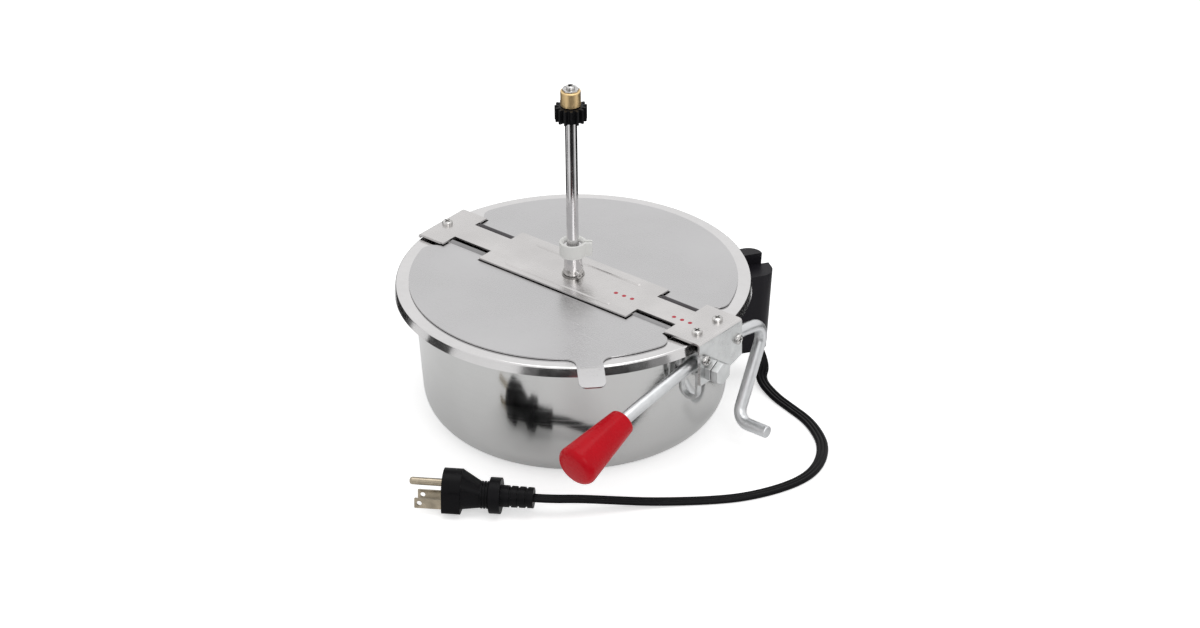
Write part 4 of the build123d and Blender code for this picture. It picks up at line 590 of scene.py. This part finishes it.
def turned(outline, facing, wall=0.0):
    """Outline spun about the Z axis. Its first ring faces up or down, and wall goes behind it."""
    bpy.ops.mesh.primitive_plane_add(size=START_PLANE)
    piece = bpy.context.view_layer.objects.active
    edit(piece)
    bpy.ops.mesh.merge(type="CENTER")
    first = outline[0]
    bpy.ops.transform.translate(value=(first.x, 0.0, first.y))
    for here, after in zip(outline, outline[1:]):
        step = after - here
        bpy.ops.mesh.extrude_vertices_move(TRANSFORM_OT_translate={"value": (step.x, 0.0, step.y)})
    bpy.ops.mesh.select_all(action="SELECT")
    bpy.ops.mesh.spin(steps=SPIN_STEPS, angle=math.tau, center=(0, 0, 0), axis=(0, 0, 1))
    bpy.ops.mesh.select_all(action="SELECT")
    bpy.ops.mesh.remove_doubles(threshold=JOIN_WITHIN)
    bpy.ops.mesh.normals_make_consistent(inside=False)
    shape = bmesh.from_edit_mesh(piece.data)
    shape.faces.ensure_lookup_table()
    middle = (outline[0] + outline[1]) / 2
    ring = min(
        shape.faces,
        key=lambda face: abs(face.calc_center_median().xy.length - middle.x)
        + abs(face.calc_center_median().z - middle.y),
    )
    if ring.normal.z * facing < 0:
        bpy.ops.mesh.flip_normals()
    bpy.ops.object.mode_set(mode="OBJECT")
    if wall:
        add_modifier(piece, "SOLIDIFY", thickness=wall, offset=-1.0, use_even_offset=True, use_rim=True)
    return piece


def joined(piece, others):
    """Pieces made into one object."""
    pick(piece)
    for other in others:
        other.select_set(True)
    bpy.ops.object.join()
    return piece


def copied(piece, transform):
    """A copy with its own mesh, moved by a matrix."""
    pick(piece)
    bpy.ops.object.duplicate(linked=False)
    made = bpy.context.view_layer.objects.active
    made.matrix_world = transform @ made.matrix_world
    return made


def dress(node, material, slot):
    """A CAD node keeps its own mesh and takes a finish."""
    kept = frame["nodes"][node]
    kept.data.materials.clear()
    kept.data.materials.append(material)
    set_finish(kept, slot)


def soften_all(context, table):
    """Each row's node as a softened piece: node, name, edge width, body, slot and any other finish."""
    looks = finishes(context)
    for node, name, width, body, slot, *look in table:
        settle(softened(node, width), name, body, slot, looks[look[0] if look else slot], node)


# ---------------------------------------------------------------- operators
class KETTLE_OT_stage(bpy.types.Operator):
    """Pale floor, soft lamps, white surroundings and the camera"""

    bl_idname = "kettle.stage"
    bl_label = "Stage"

    def execute(self, context):
        deselect()
        bpy.ops.mesh.primitive_circle_add(vertices=128, radius=FLOOR_RADIUS, fill_type="NGON")
        floor = context.view_layer.objects.active
        edit(floor)
        bpy.ops.mesh.extrude_edges_move(TRANSFORM_OT_translate={"value": (0, 0, 0)})
        bpy.ops.transform.resize(value=(FLOOR_SPREAD, FLOOR_SPREAD, 1))
        bpy.ops.object.mode_set(mode="OBJECT")
        floor.name = "studio_floor"
        floor.data.materials.append(self.floor_finish(context))
        self.surround(context)
        for name, place, size, power in LAMPS:
            self.lamp(name, place, size, power)
        self.dark_cards()
        camera = bpy.data.objects.new("camera", bpy.data.cameras.new("camera"))
        context.scene.collection.objects.link(camera)
        camera.location = CAMERA_PLACE
        camera.rotation_euler = [math.radians(turn) for turn in CAMERA_TURN]
        camera.data.lens = CAMERA_LENS
        camera.data.sensor_width = CAMERA_SENSOR
        camera.data.clip_start = CAMERA_NEAR
        context.scene.camera = camera
        context.scene.view_settings.view_transform = "Standard"
        return {"FINISHED"}

    def floor_finish(self, context):
        """Matt floor that shows white to the camera and in reflections, and keeps its shadows."""
        material = bpy.data.materials.new("studio_floor_paint")
        material.use_nodes = True
        tree = material.node_tree
        shader = tree.nodes["Principled BSDF"]
        speckle = noise(tree, (40.0, 40.0, 40.0))
        colour = context.scene.kettle_colours.floor
        dim, light = (tint(colour, factor) for factor in FLOOR_TONES)
        tone = blend(tree, spread(tree, speckle, 0.0, 1.0), dim, light)
        tree.links.new(tone, shader.inputs["Base Color"])
        shader.inputs["Roughness"].default_value = 0.9
        shader.inputs["Specular IOR Level"].default_value = 0.0
        rays = add_node(tree, "LightPath")
        direct = add_node(
            tree,
            "Math",
            {0: rays.outputs["Is Camera Ray"], 1: rays.outputs["Is Transmission Ray"]},
            operation="MAXIMUM",
        )
        direct = add_node(tree, "Math", {0: direct.outputs["Value"], 1: FLOOR_LIFT}, operation="MULTIPLY")
        mirrored = add_node(
            tree, "Math", {0: rays.outputs["Is Glossy Ray"], 1: FLOOR_MIRRORED_LIFT}, operation="MULTIPLY"
        )
        lift = add_node(
            tree, "Math", {0: direct.outputs["Value"], 1: mirrored.outputs["Value"]}, operation="MAXIMUM"
        )
        glow = add_node(tree, "Emission", {"Color": (1, 1, 1, 1), "Strength": lift.outputs["Value"]})
        total = add_node(tree, "AddShader", {0: shader.outputs[0], 1: glow.outputs[0]})
        tree.links.new(total.outputs[0], tree.nodes["Material Output"].inputs["Surface"])
        return material

    def surround(self, context):
        """World that is white to the camera and in reflections, and a plain grey light otherwise."""
        world = bpy.data.worlds.new("studio_surround")
        context.scene.world = world
        world.use_nodes = True
        tree = world.node_tree
        light = tree.nodes["Background"]
        light.inputs["Color"].default_value = (1, 1, 1, 1)
        light.inputs["Strength"].default_value = SURROUND_LIGHT
        shown = add_node(tree, "Background", {"Color": (1, 1, 1, 1), "Strength": 1.0})
        rays = add_node(tree, "LightPath")
        seen = add_node(
            tree,
            "Math",
            {0: rays.outputs["Is Camera Ray"], 1: rays.outputs["Is Transmission Ray"]},
            operation="MAXIMUM",
        )
        seen = add_node(
            tree, "Math", {0: seen.outputs["Value"], 1: rays.outputs["Is Glossy Ray"]}, operation="MAXIMUM"
        )
        chosen = add_node(
            tree, "MixShader", {0: seen.outputs["Value"], 1: light.outputs[0], 2: shown.outputs[0]}
        )
        tree.links.new(chosen.outputs[0], tree.nodes["World Output"].inputs["Surface"])

    def dark_cards(self):
        """Flat cards round the kettle that only reflections show: name, two bearings and tone."""
        for name, first, last, tone in DARK_CARDS:
            deselect()
            bpy.ops.mesh.primitive_plane_add(size=START_PLANE)
            card = bpy.context.view_layer.objects.active
            edit(card)
            bpy.ops.mesh.merge(type="CENTER")
            start = Matrix.Rotation(math.radians(first), 3, "Z") @ Vector((1, 0, 0))
            bpy.ops.transform.translate(value=start * CARD_NEAR + Vector((0, 0, CARD_LIFT)))
            outward = start * (CARD_FAR - CARD_NEAR)
            bpy.ops.mesh.extrude_vertices_move(TRANSFORM_OT_translate={"value": outward})
            bpy.ops.mesh.select_all(action="SELECT")
            sweep = math.radians(first - last)
            bpy.ops.mesh.spin(steps=CARD_STEPS, angle=sweep, center=(0, 0, 0), axis=(0, 0, 1))
            bpy.ops.object.mode_set(mode="OBJECT")
            card.name = name
            paper = finish(
                name + "_paper", (tone, tone, tone), 0.9, 0.0, even(200), Specular_IOR_Level=0.1
            )
            card.data.materials.append(paper)
            card.visible_camera = False
            card.visible_diffuse = False
            card.visible_shadow = False
            card.visible_transmission = False

    def lamp(self, name, place, size, power):
        """Square softbox aimed at the kettle's foot."""
        lamp = bpy.data.objects.new(name, bpy.data.lights.new(name, "AREA"))
        bpy.context.scene.collection.objects.link(lamp)
        lamp.data.size = size
        lamp.data.energy = power
        lamp.location = place
        aim = LAMP_AIM - Vector(place)
        lamp.rotation_euler = aim.to_track_quat("-Z", "Y").to_euler()


class KETTLE_OT_plug(bpy.types.Operator):
    """Moulded plug, its blades and its round pin"""

    bl_idname = "kettle.plug"
    bl_label = "Plug"

    def execute(self, context):
        soften_all(
            context,
            (
                ("plug_body", "plug_moulding", MOULDED_EDGE, "kettle", "cord_black"),
                ("plug_blades", "plug_blade_pair", BLADE_EDGE, "kettle", "contact_brass"),
                ("ground_pin", "plug_round_pin", PLAIN_EDGE, "kettle", "contact_brass"),
            ),
        )
        return {"FINISHED"}


class KETTLE_OT_cord(bpy.types.Operator):
    """Flat three-core cord from the strain relief to the plug"""

    bl_idname = "kettle.cord"
    bl_label = "Power cord"

    def execute(self, context):
        deselect()
        line = bpy.data.curves.new("flat_cord", "CURVE")
        line.dimensions = "3D"
        line.twist_mode = "Z_UP"
        line.resolution_u = 14
        spline = line.splines.new("NURBS")
        spline.points.add(len(CORD_ROUTE) - 1)
        for index, (point, place) in enumerate(zip(spline.points, CORD_ROUTE)):
            point.co = (*place, 1.0)
            point.tilt = CORD_TILT.get(index, 0.0)
        spline.order_u = 3
        spline.use_endpoint_u = True
        piece = bpy.data.objects.new("flat_cord", line)
        context.scene.collection.objects.link(piece)
        context.view_layer.update()
        walked = bpy.data.meshes.new_from_object(piece)
        bpy.data.meshes.remove(walked)
        section = self.section(context)
        line.bevel_mode = "OBJECT"
        line.bevel_object = section
        line.use_fill_caps = True
        pick(piece)
        bpy.ops.object.convert(target="MESH")
        piece = context.view_layer.objects.active
        bpy.data.objects.remove(section)
        edit(piece)
        bpy.ops.mesh.remove_doubles(threshold=JOIN_WITHIN)
        bpy.ops.mesh.normals_make_consistent(inside=False)
        bpy.ops.object.mode_set(mode="OBJECT")
        smooth(piece, 50.0)
        settle(piece, "flat_cord", "kettle", "cord_black", finishes(context)["cord_black"], "power_cord")
        return {"FINISHED"}

    def section(self, context):
        """Closed outline across the cord: three round cores side by side, with shallow grooves."""
        sizes = context.scene.kettle_sizes
        core = sizes.cord_thickness / 2
        pitch = sizes.cord_width / 2 - core
        upper = []
        for lobe in (-1, 0, 1):
            for step in range(CORD_LOBE_STEPS + 1):
                turn = math.pi * (1 - step / CORD_LOBE_STEPS)
                across, up = lobe * pitch + core * math.cos(turn), core * math.sin(turn)
                if abs(across - lobe * pitch) > pitch / 2 and abs(across) < pitch:
                    continue
                inner = abs(across) < pitch
                upper.append((across, max(up, core - sizes.cord_groove) if inner else up))
        outline = upper + [(across, -up) for across, up in reversed(upper[1:-1])]
        line = bpy.data.curves.new("cord_section", "CURVE")
        line.dimensions = "2D"
        spline = line.splines.new("POLY")
        spline.points.add(len(outline) - 1)
        for point, (across, up) in zip(spline.points, outline):
            point.co = (across, up, 0.0, 1.0)
        spline.use_cyclic_u = True
        section = bpy.data.objects.new("cord_section", line)
        context.scene.collection.objects.link(section)
        return section


class KETTLE_OT_drum(bpy.types.Operator):
    """Polished outer shell, spun in one piece with its base ring and flange"""

    bl_idname = "kettle.drum"
    bl_label = "Drum"

    def execute(self, context):
        s = context.scene.kettle_sizes
        flange = s.rim_top - 2 * s.sheet
        outline = rounded(
            (
                (s.base_opening, 0.0, 0.0),
                (s.wall_foot, 0.0, s.wall_corner),
                (s.wall_top, flange, FLANGE_BEND),
                (s.rim_radius - FLANGE_STOP * s.sheet, flange, 0.0),
            ),
            12,
        )
        drum = turned(outline, -1, s.sheet)
        smooth(drum, 30.0)
        look = finishes(context)["polished_steel"]
        settle(drum, "spun_drum", "kettle", "polished_steel", look, "kettle_shell")
        return {"FINISHED"}


class KETTLE_OT_pan(bpy.types.Operator):
    """Inner pan with its rolled rim and the studs that carry the heater"""

    bl_idname = "kettle.pan"
    bl_label = "Pan"

    def execute(self, context):
        s = context.scene.kettle_sizes
        outline = rounded(
            (
                (0.0, s.pan_floor, 0.0),
                (s.pan_foot, s.pan_floor, s.pan_corner),
                (s.pan_mouth, s.rim_top, s.pan_neck),
                (s.rim_radius - s.rim_lean, s.rim_top, s.rim_roll),
                (s.rim_radius, s.rim_top - s.rim_band, 0.0),
            )
        )
        pan = turned(outline, 1, s.sheet)
        smooth(pan, 30.0)
        studs = []
        for index in range(3):
            turn = math.tau * index / 3
            bpy.ops.mesh.primitive_cylinder_add(
                vertices=24,
                radius=s.stud_radius,
                depth=s.pan_floor - s.sheet - s.stud_foot,
                location=(
                    s.stud_circle * math.cos(turn),
                    s.stud_circle * math.sin(turn),
                    (s.pan_floor - s.sheet + s.stud_foot) / 2,
                ),
            )
            stud = context.view_layer.objects.active
            add_modifier(
                stud, "BEVEL", width=BOLD_EDGE, segments=2, angle_limit=math.radians(STUD_ROUND_ABOVE)
            )
            smooth(stud, 40.0)
            studs.append(stud)
        look = finishes(context)["rim_steel"]
        settle(joined(pan, studs), "rolled_rim_pan", "kettle", "polished_steel", look, "inner_pan")
        return {"FINISHED"}


class KETTLE_OT_lids(bpy.types.Operator):
    """Front and rear flap lids with their rolled knuckles"""

    bl_idname = "kettle.lids"
    bl_label = "Lids"

    def execute(self, context):
        soften_all(
            context,
            (
                ("front_lid", "front_flap", LID_EDGE, "front_lid_body", "satin_steel"),
                ("rear_lid", "rear_flap", LID_EDGE, "rear_lid_body", "satin_steel"),
                ("front_hinge_wires", "front_hinge_pins", THIN_EDGE, "kettle", "wire_steel"),
                ("rear_hinge_wires", "rear_hinge_pins", THIN_EDGE, "kettle", "wire_steel"),
            ),
        )
        looks = finishes(context)
        # The knuckles take painted shade: darker on the front lid, near black on the rear lid.
        self.paint_knuckle_shade("front_flap", -1, looks["front_knuckle_painted_shade_steel"])
        self.paint_knuckle_shade("rear_flap", 1, looks["rear_knuckle_painted_shade_steel"])
        return {"FINISHED"}

    def paint_knuckle_shade(self, name, side, look):
        """The faces rolled about the lid's hinge line take a darker finish, which is painted shade."""
        lid = bpy.data.objects[name]
        lid.data.materials.append(look)
        for face in lid.data.polygons:
            across = face.center.y - side * HINGE_LINE.y
            if math.hypot(across, face.center.z - HINGE_LINE.z) < KNUCKLE_REACH:
                face.material_index = 1


class KETTLE_OT_crossbar(bpy.types.Operator):
    """Crossbar with its beads and end bracket, and its enamel dots"""

    bl_idname = "kettle.crossbar"
    bl_label = "Crossbar"

    def execute(self, context):
        looks = finishes(context)
        soften_all(
            context,
            (
                ("crossbar", "bridge_bar", PLAIN_EDGE, "kettle", "satin_steel", "bar_steel"),
                ("crossbar_spacers", "bar_spacers", THIN_EDGE, "kettle", "plated_screws"),
                ("front_stay", "lower_stay", BOLD_EDGE, "kettle", "zinc_hardware"),
            ),
        )
        self.dress_bracket(looks["bracket_steel"])
        radius = context.scene.kettle_sizes.dot_radius
        top = BAR_BOX[1].z - BEAD_HEIGHT
        deselect()
        bpy.ops.mesh.primitive_circle_add(vertices=20, radius=radius, fill_type="NGON")
        dot = context.view_layer.objects.active
        edit(dot)
        bpy.ops.mesh.inset(thickness=radius * DOT_BORDER_SHARE, depth=DOT_CROWN)
        bpy.ops.object.mode_set(mode="OBJECT")
        dots = [
            copied(dot, Matrix.Translation((across, along, top + DOT_LIFT)))
            for across, along in ENAMEL_DOTS
        ]
        bpy.data.objects.remove(dot)
        row = joined(dots[0], dots[1:])
        settle(row, "enamel_dots", "kettle", "satin_steel", looks["enamel"])
        return {"FINISHED"}

    def dress_bracket(self, look):
        """The bar's turned-down end takes its own finish."""
        bar = bpy.data.objects["bridge_bar"]
        bar.data.materials.append(look)
        for face in bar.data.polygons:
            if face.center.x > PAN_BOX[1].x and face.normal.x > BRACKET_FACING:
                face.material_index = 1


class KETTLE_OT_screws(bpy.types.Operator):
    """Plated screws and nuts of the crossbar, bracket, base and housing"""

    bl_idname = "kettle.screws"
    bl_label = "Screws"

    def execute(self, context):
        soften_all(
            context,
            (
                ("crossbar_screws", "bar_screws", SCREW_EDGE, "kettle", "plated_screws"),
                ("bracket_screws", "bracket_face_screws", SCREW_EDGE, "kettle", "plated_screws"),
                ("housing_screws", "housing_fixings", SCREW_EDGE, "kettle", "plated_screws"),
                ("base_screws", "base_fixings", SCREW_EDGE, "kettle", "plated_screws"),
                ("rim_nuts", "rim_fixing_nuts", SCREW_EDGE, "kettle", "plated_screws"),
            ),
        )
        return {"FINISHED"}


class KETTLE_OT_rod(bpy.types.Operator):
    """Bent support rod, its clamp and bolt"""

    bl_idname = "kettle.rod"
    bl_label = "Rod and clamp"

    def execute(self, context):
        soften_all(
            context,
            (
                ("support_rod", "bent_rod", PLAIN_EDGE, "kettle", "rod_aluminium"),
                ("rod_clamp", "rod_clamp_block", BOLD_EDGE, "kettle", "zinc_hardware"),
                ("clamp_nut", "clamp_lock_nut", PLAIN_EDGE, "kettle", "zinc_hardware"),
                ("clamp_bolt", "clamp_hex_bolt", PLAIN_EDGE, "kettle", "zinc_hardware"),
            ),
        )
        return {"FINISHED"}


class KETTLE_OT_grip(bpy.types.Operator):
    """Tapered red grip with a crowned end, on the rod's free end"""

    bl_idname = "kettle.grip"
    bl_label = "Grip"

    def execute(self, context):
        s = context.scene.kettle_sizes
        outline = rounded(
            (
                (0.0, 0.0, 0.0),
                (s.grip_tip * GRIP_DOME_SHARE, GRIP_DOME_DROP, 0.0),
                (s.grip_tip, GRIP_SHOULDER, GRIP_SHOULDER_BEND),
                (s.grip_neck, s.grip_length, GRIP_NECK_BEND),
                (s.rod_radius, s.grip_length, 0.0),
                (s.rod_radius, s.grip_wall, 0.0),
                (0.0, s.grip_wall, 0.0),
            )
        )
        grip = turned(outline, -1)
        smooth(grip, 40.0)
        aim = (GRIP_AIM - GRIP_TIP).normalized()
        turn = Vector((0, 0, 1)).rotation_difference(aim).to_matrix().to_4x4()
        grip.matrix_world = Matrix.Translation(GRIP_TIP) @ turn
        look = finishes(context)["grip_red"]
        settle(grip, "tapered_grip", "kettle", "grip_red", look, "handle_grip")
        return {"FINISHED"}


class KETTLE_OT_stirrer(bpy.types.Operator):
    """Drive shaft, gear, bearing, sleeve and the stirrer below"""

    bl_idname = "kettle.stirrer"
    bl_label = "Shaft and stirrer"

    def execute(self, context):
        soften_all(
            context,
            (
                ("drive_shaft", "upright_shaft", PLAIN_EDGE, "stirrer", "shaft_steel"),
                ("drive_gear", "toothed_gear", THIN_EDGE, "stirrer", "gear_black"),
                ("gear_pin", "gear_cross_pin", THIN_EDGE, "stirrer", "shaft_steel"),
                ("top_bearing", "brass_bearing", PLAIN_EDGE, "top_bearing_body", "brass"),
                ("top_washer", "shaft_top_washer", THIN_EDGE, "stirrer", "plated_screws"),
                ("top_screw", "shaft_top_screw", SCREW_EDGE, "stirrer", "plated_screws"),
                ("stirrer_sleeve", "joining_sleeve", PLAIN_EDGE, "stirrer", "shaft_steel"),
                ("stop_ring", "sleeve_stop_ring", PLAIN_EDGE, "stirrer", "plated_screws"),
                ("set_screw", "sleeve_set_screw", SCREW_EDGE, "stirrer", "plated_screws"),
                ("collar_clip", "split_collar", PLAIN_EDGE, "stirrer", "collar_nylon"),
                ("stirrer_shaft", "lower_shaft", PLAIN_EDGE, "stirrer", "shaft_steel"),
                ("stirrer_hub", "arm_hub", BOLD_EDGE, "stirrer", "stirrer_aluminium"),
                ("long_arm", "long_stirring_arm", PLAIN_EDGE, "stirrer", "stirrer_aluminium"),
                ("short_arm", "short_stirring_arm", PLAIN_EDGE, "stirrer", "stirrer_aluminium"),
                ("shaft_bush", "bar_bush", THIN_EDGE, "kettle", "plated_screws", "bush_metal"),
            ),
        )
        return {"FINISHED"}


class KETTLE_OT_housing(bpy.types.Operator):
    """Moulded terminal housing and the cord's strain relief"""

    bl_idname = "kettle.housing"
    bl_label = "Housing"

    def execute(self, context):
        soften_all(
            context,
            (
                ("terminal_cover", "terminal_housing", MOULDED_EDGE, "kettle", "housing_black"),
                ("strain_relief", "cord_strain_relief", MOULDED_EDGE, "kettle", "cord_black"),
                ("terminal_base", "housing_back_plate", PLAIN_EDGE, "kettle", "base_steel"),
            ),
        )
        return {"FINISHED"}


class KETTLE_OT_inside(bpy.types.Operator):
    """Finishes on the heater, wiring and base, which keep their own shapes"""

    bl_idname = "kettle.inside"
    bl_label = "Heater and base"

    def execute(self, context):
        looks = finishes(context)
        for node, slot in (
            ("base_cover", "base_steel"),
            ("heat_plate", "stirrer_aluminium"),
            ("heating_element", "element_sheath"),
            ("element_clamp", "stirrer_aluminium"),
            ("clamp_nuts", "plated_screws"),
            ("thermostat", "ceramic"),
            ("thermal_fuse", "fuse_metal"),
            ("terminal_block", "ceramic"),
            ("wire_grommet", "cord_black"),
            ("live_lead", "lead_live"),
            ("neutral_lead", "lead_neutral"),
            ("earth_lead", "lead_earth"),
        ):
            dress(node, looks[slot], slot)
        return {"FINISHED"}


STEPS = (
    KETTLE_OT_stage,
    KETTLE_OT_plug,
    KETTLE_OT_cord,
    KETTLE_OT_drum,
    KETTLE_OT_pan,
    KETTLE_OT_lids,
    KETTLE_OT_crossbar,
    KETTLE_OT_screws,
    KETTLE_OT_rod,
    KETTLE_OT_grip,
    KETTLE_OT_stirrer,
    KETTLE_OT_housing,
    KETTLE_OT_inside,
)


class KETTLE_PT_panel(bpy.types.Panel):
    """Lists the kettle's pieces in the order they are made."""

    bl_label = "Popcorn kettle"
    bl_idname = "KETTLE_PT_panel"
    bl_space_type = "VIEW_3D"
    bl_region_type = "UI"
    bl_category = "Kettle"

    def draw(self, context):
        for step in STEPS:
            self.layout.operator(step.bl_idname)
        for group in (context.scene.kettle_sizes, context.scene.kettle_colours):
            box = self.layout.box()
            for key in group.__annotations__:
                box.prop(group, key)


CLASSES = (KettleSizes, KettleColours, *STEPS, KETTLE_PT_panel)


def register():
    for made in CLASSES:
        bpy.utils.register_class(made)
    bpy.types.Scene.kettle_sizes = PointerProperty(type=KettleSizes)
    bpy.types.Scene.kettle_colours = PointerProperty(type=KettleColours)


def unregister():
    del bpy.types.Scene.kettle_colours
    del bpy.types.Scene.kettle_sizes
    for made in reversed(CLASSES):
        bpy.utils.unregister_class(made)


def main():
    """Registers the add-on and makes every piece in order."""
    register()
    for step in STEPS:
        group, name = step.bl_idname.split(".")
        getattr(getattr(bpy.ops, group), name)()
    bpy.context.view_layer.update()


if __name__ == "__main__":
    main()
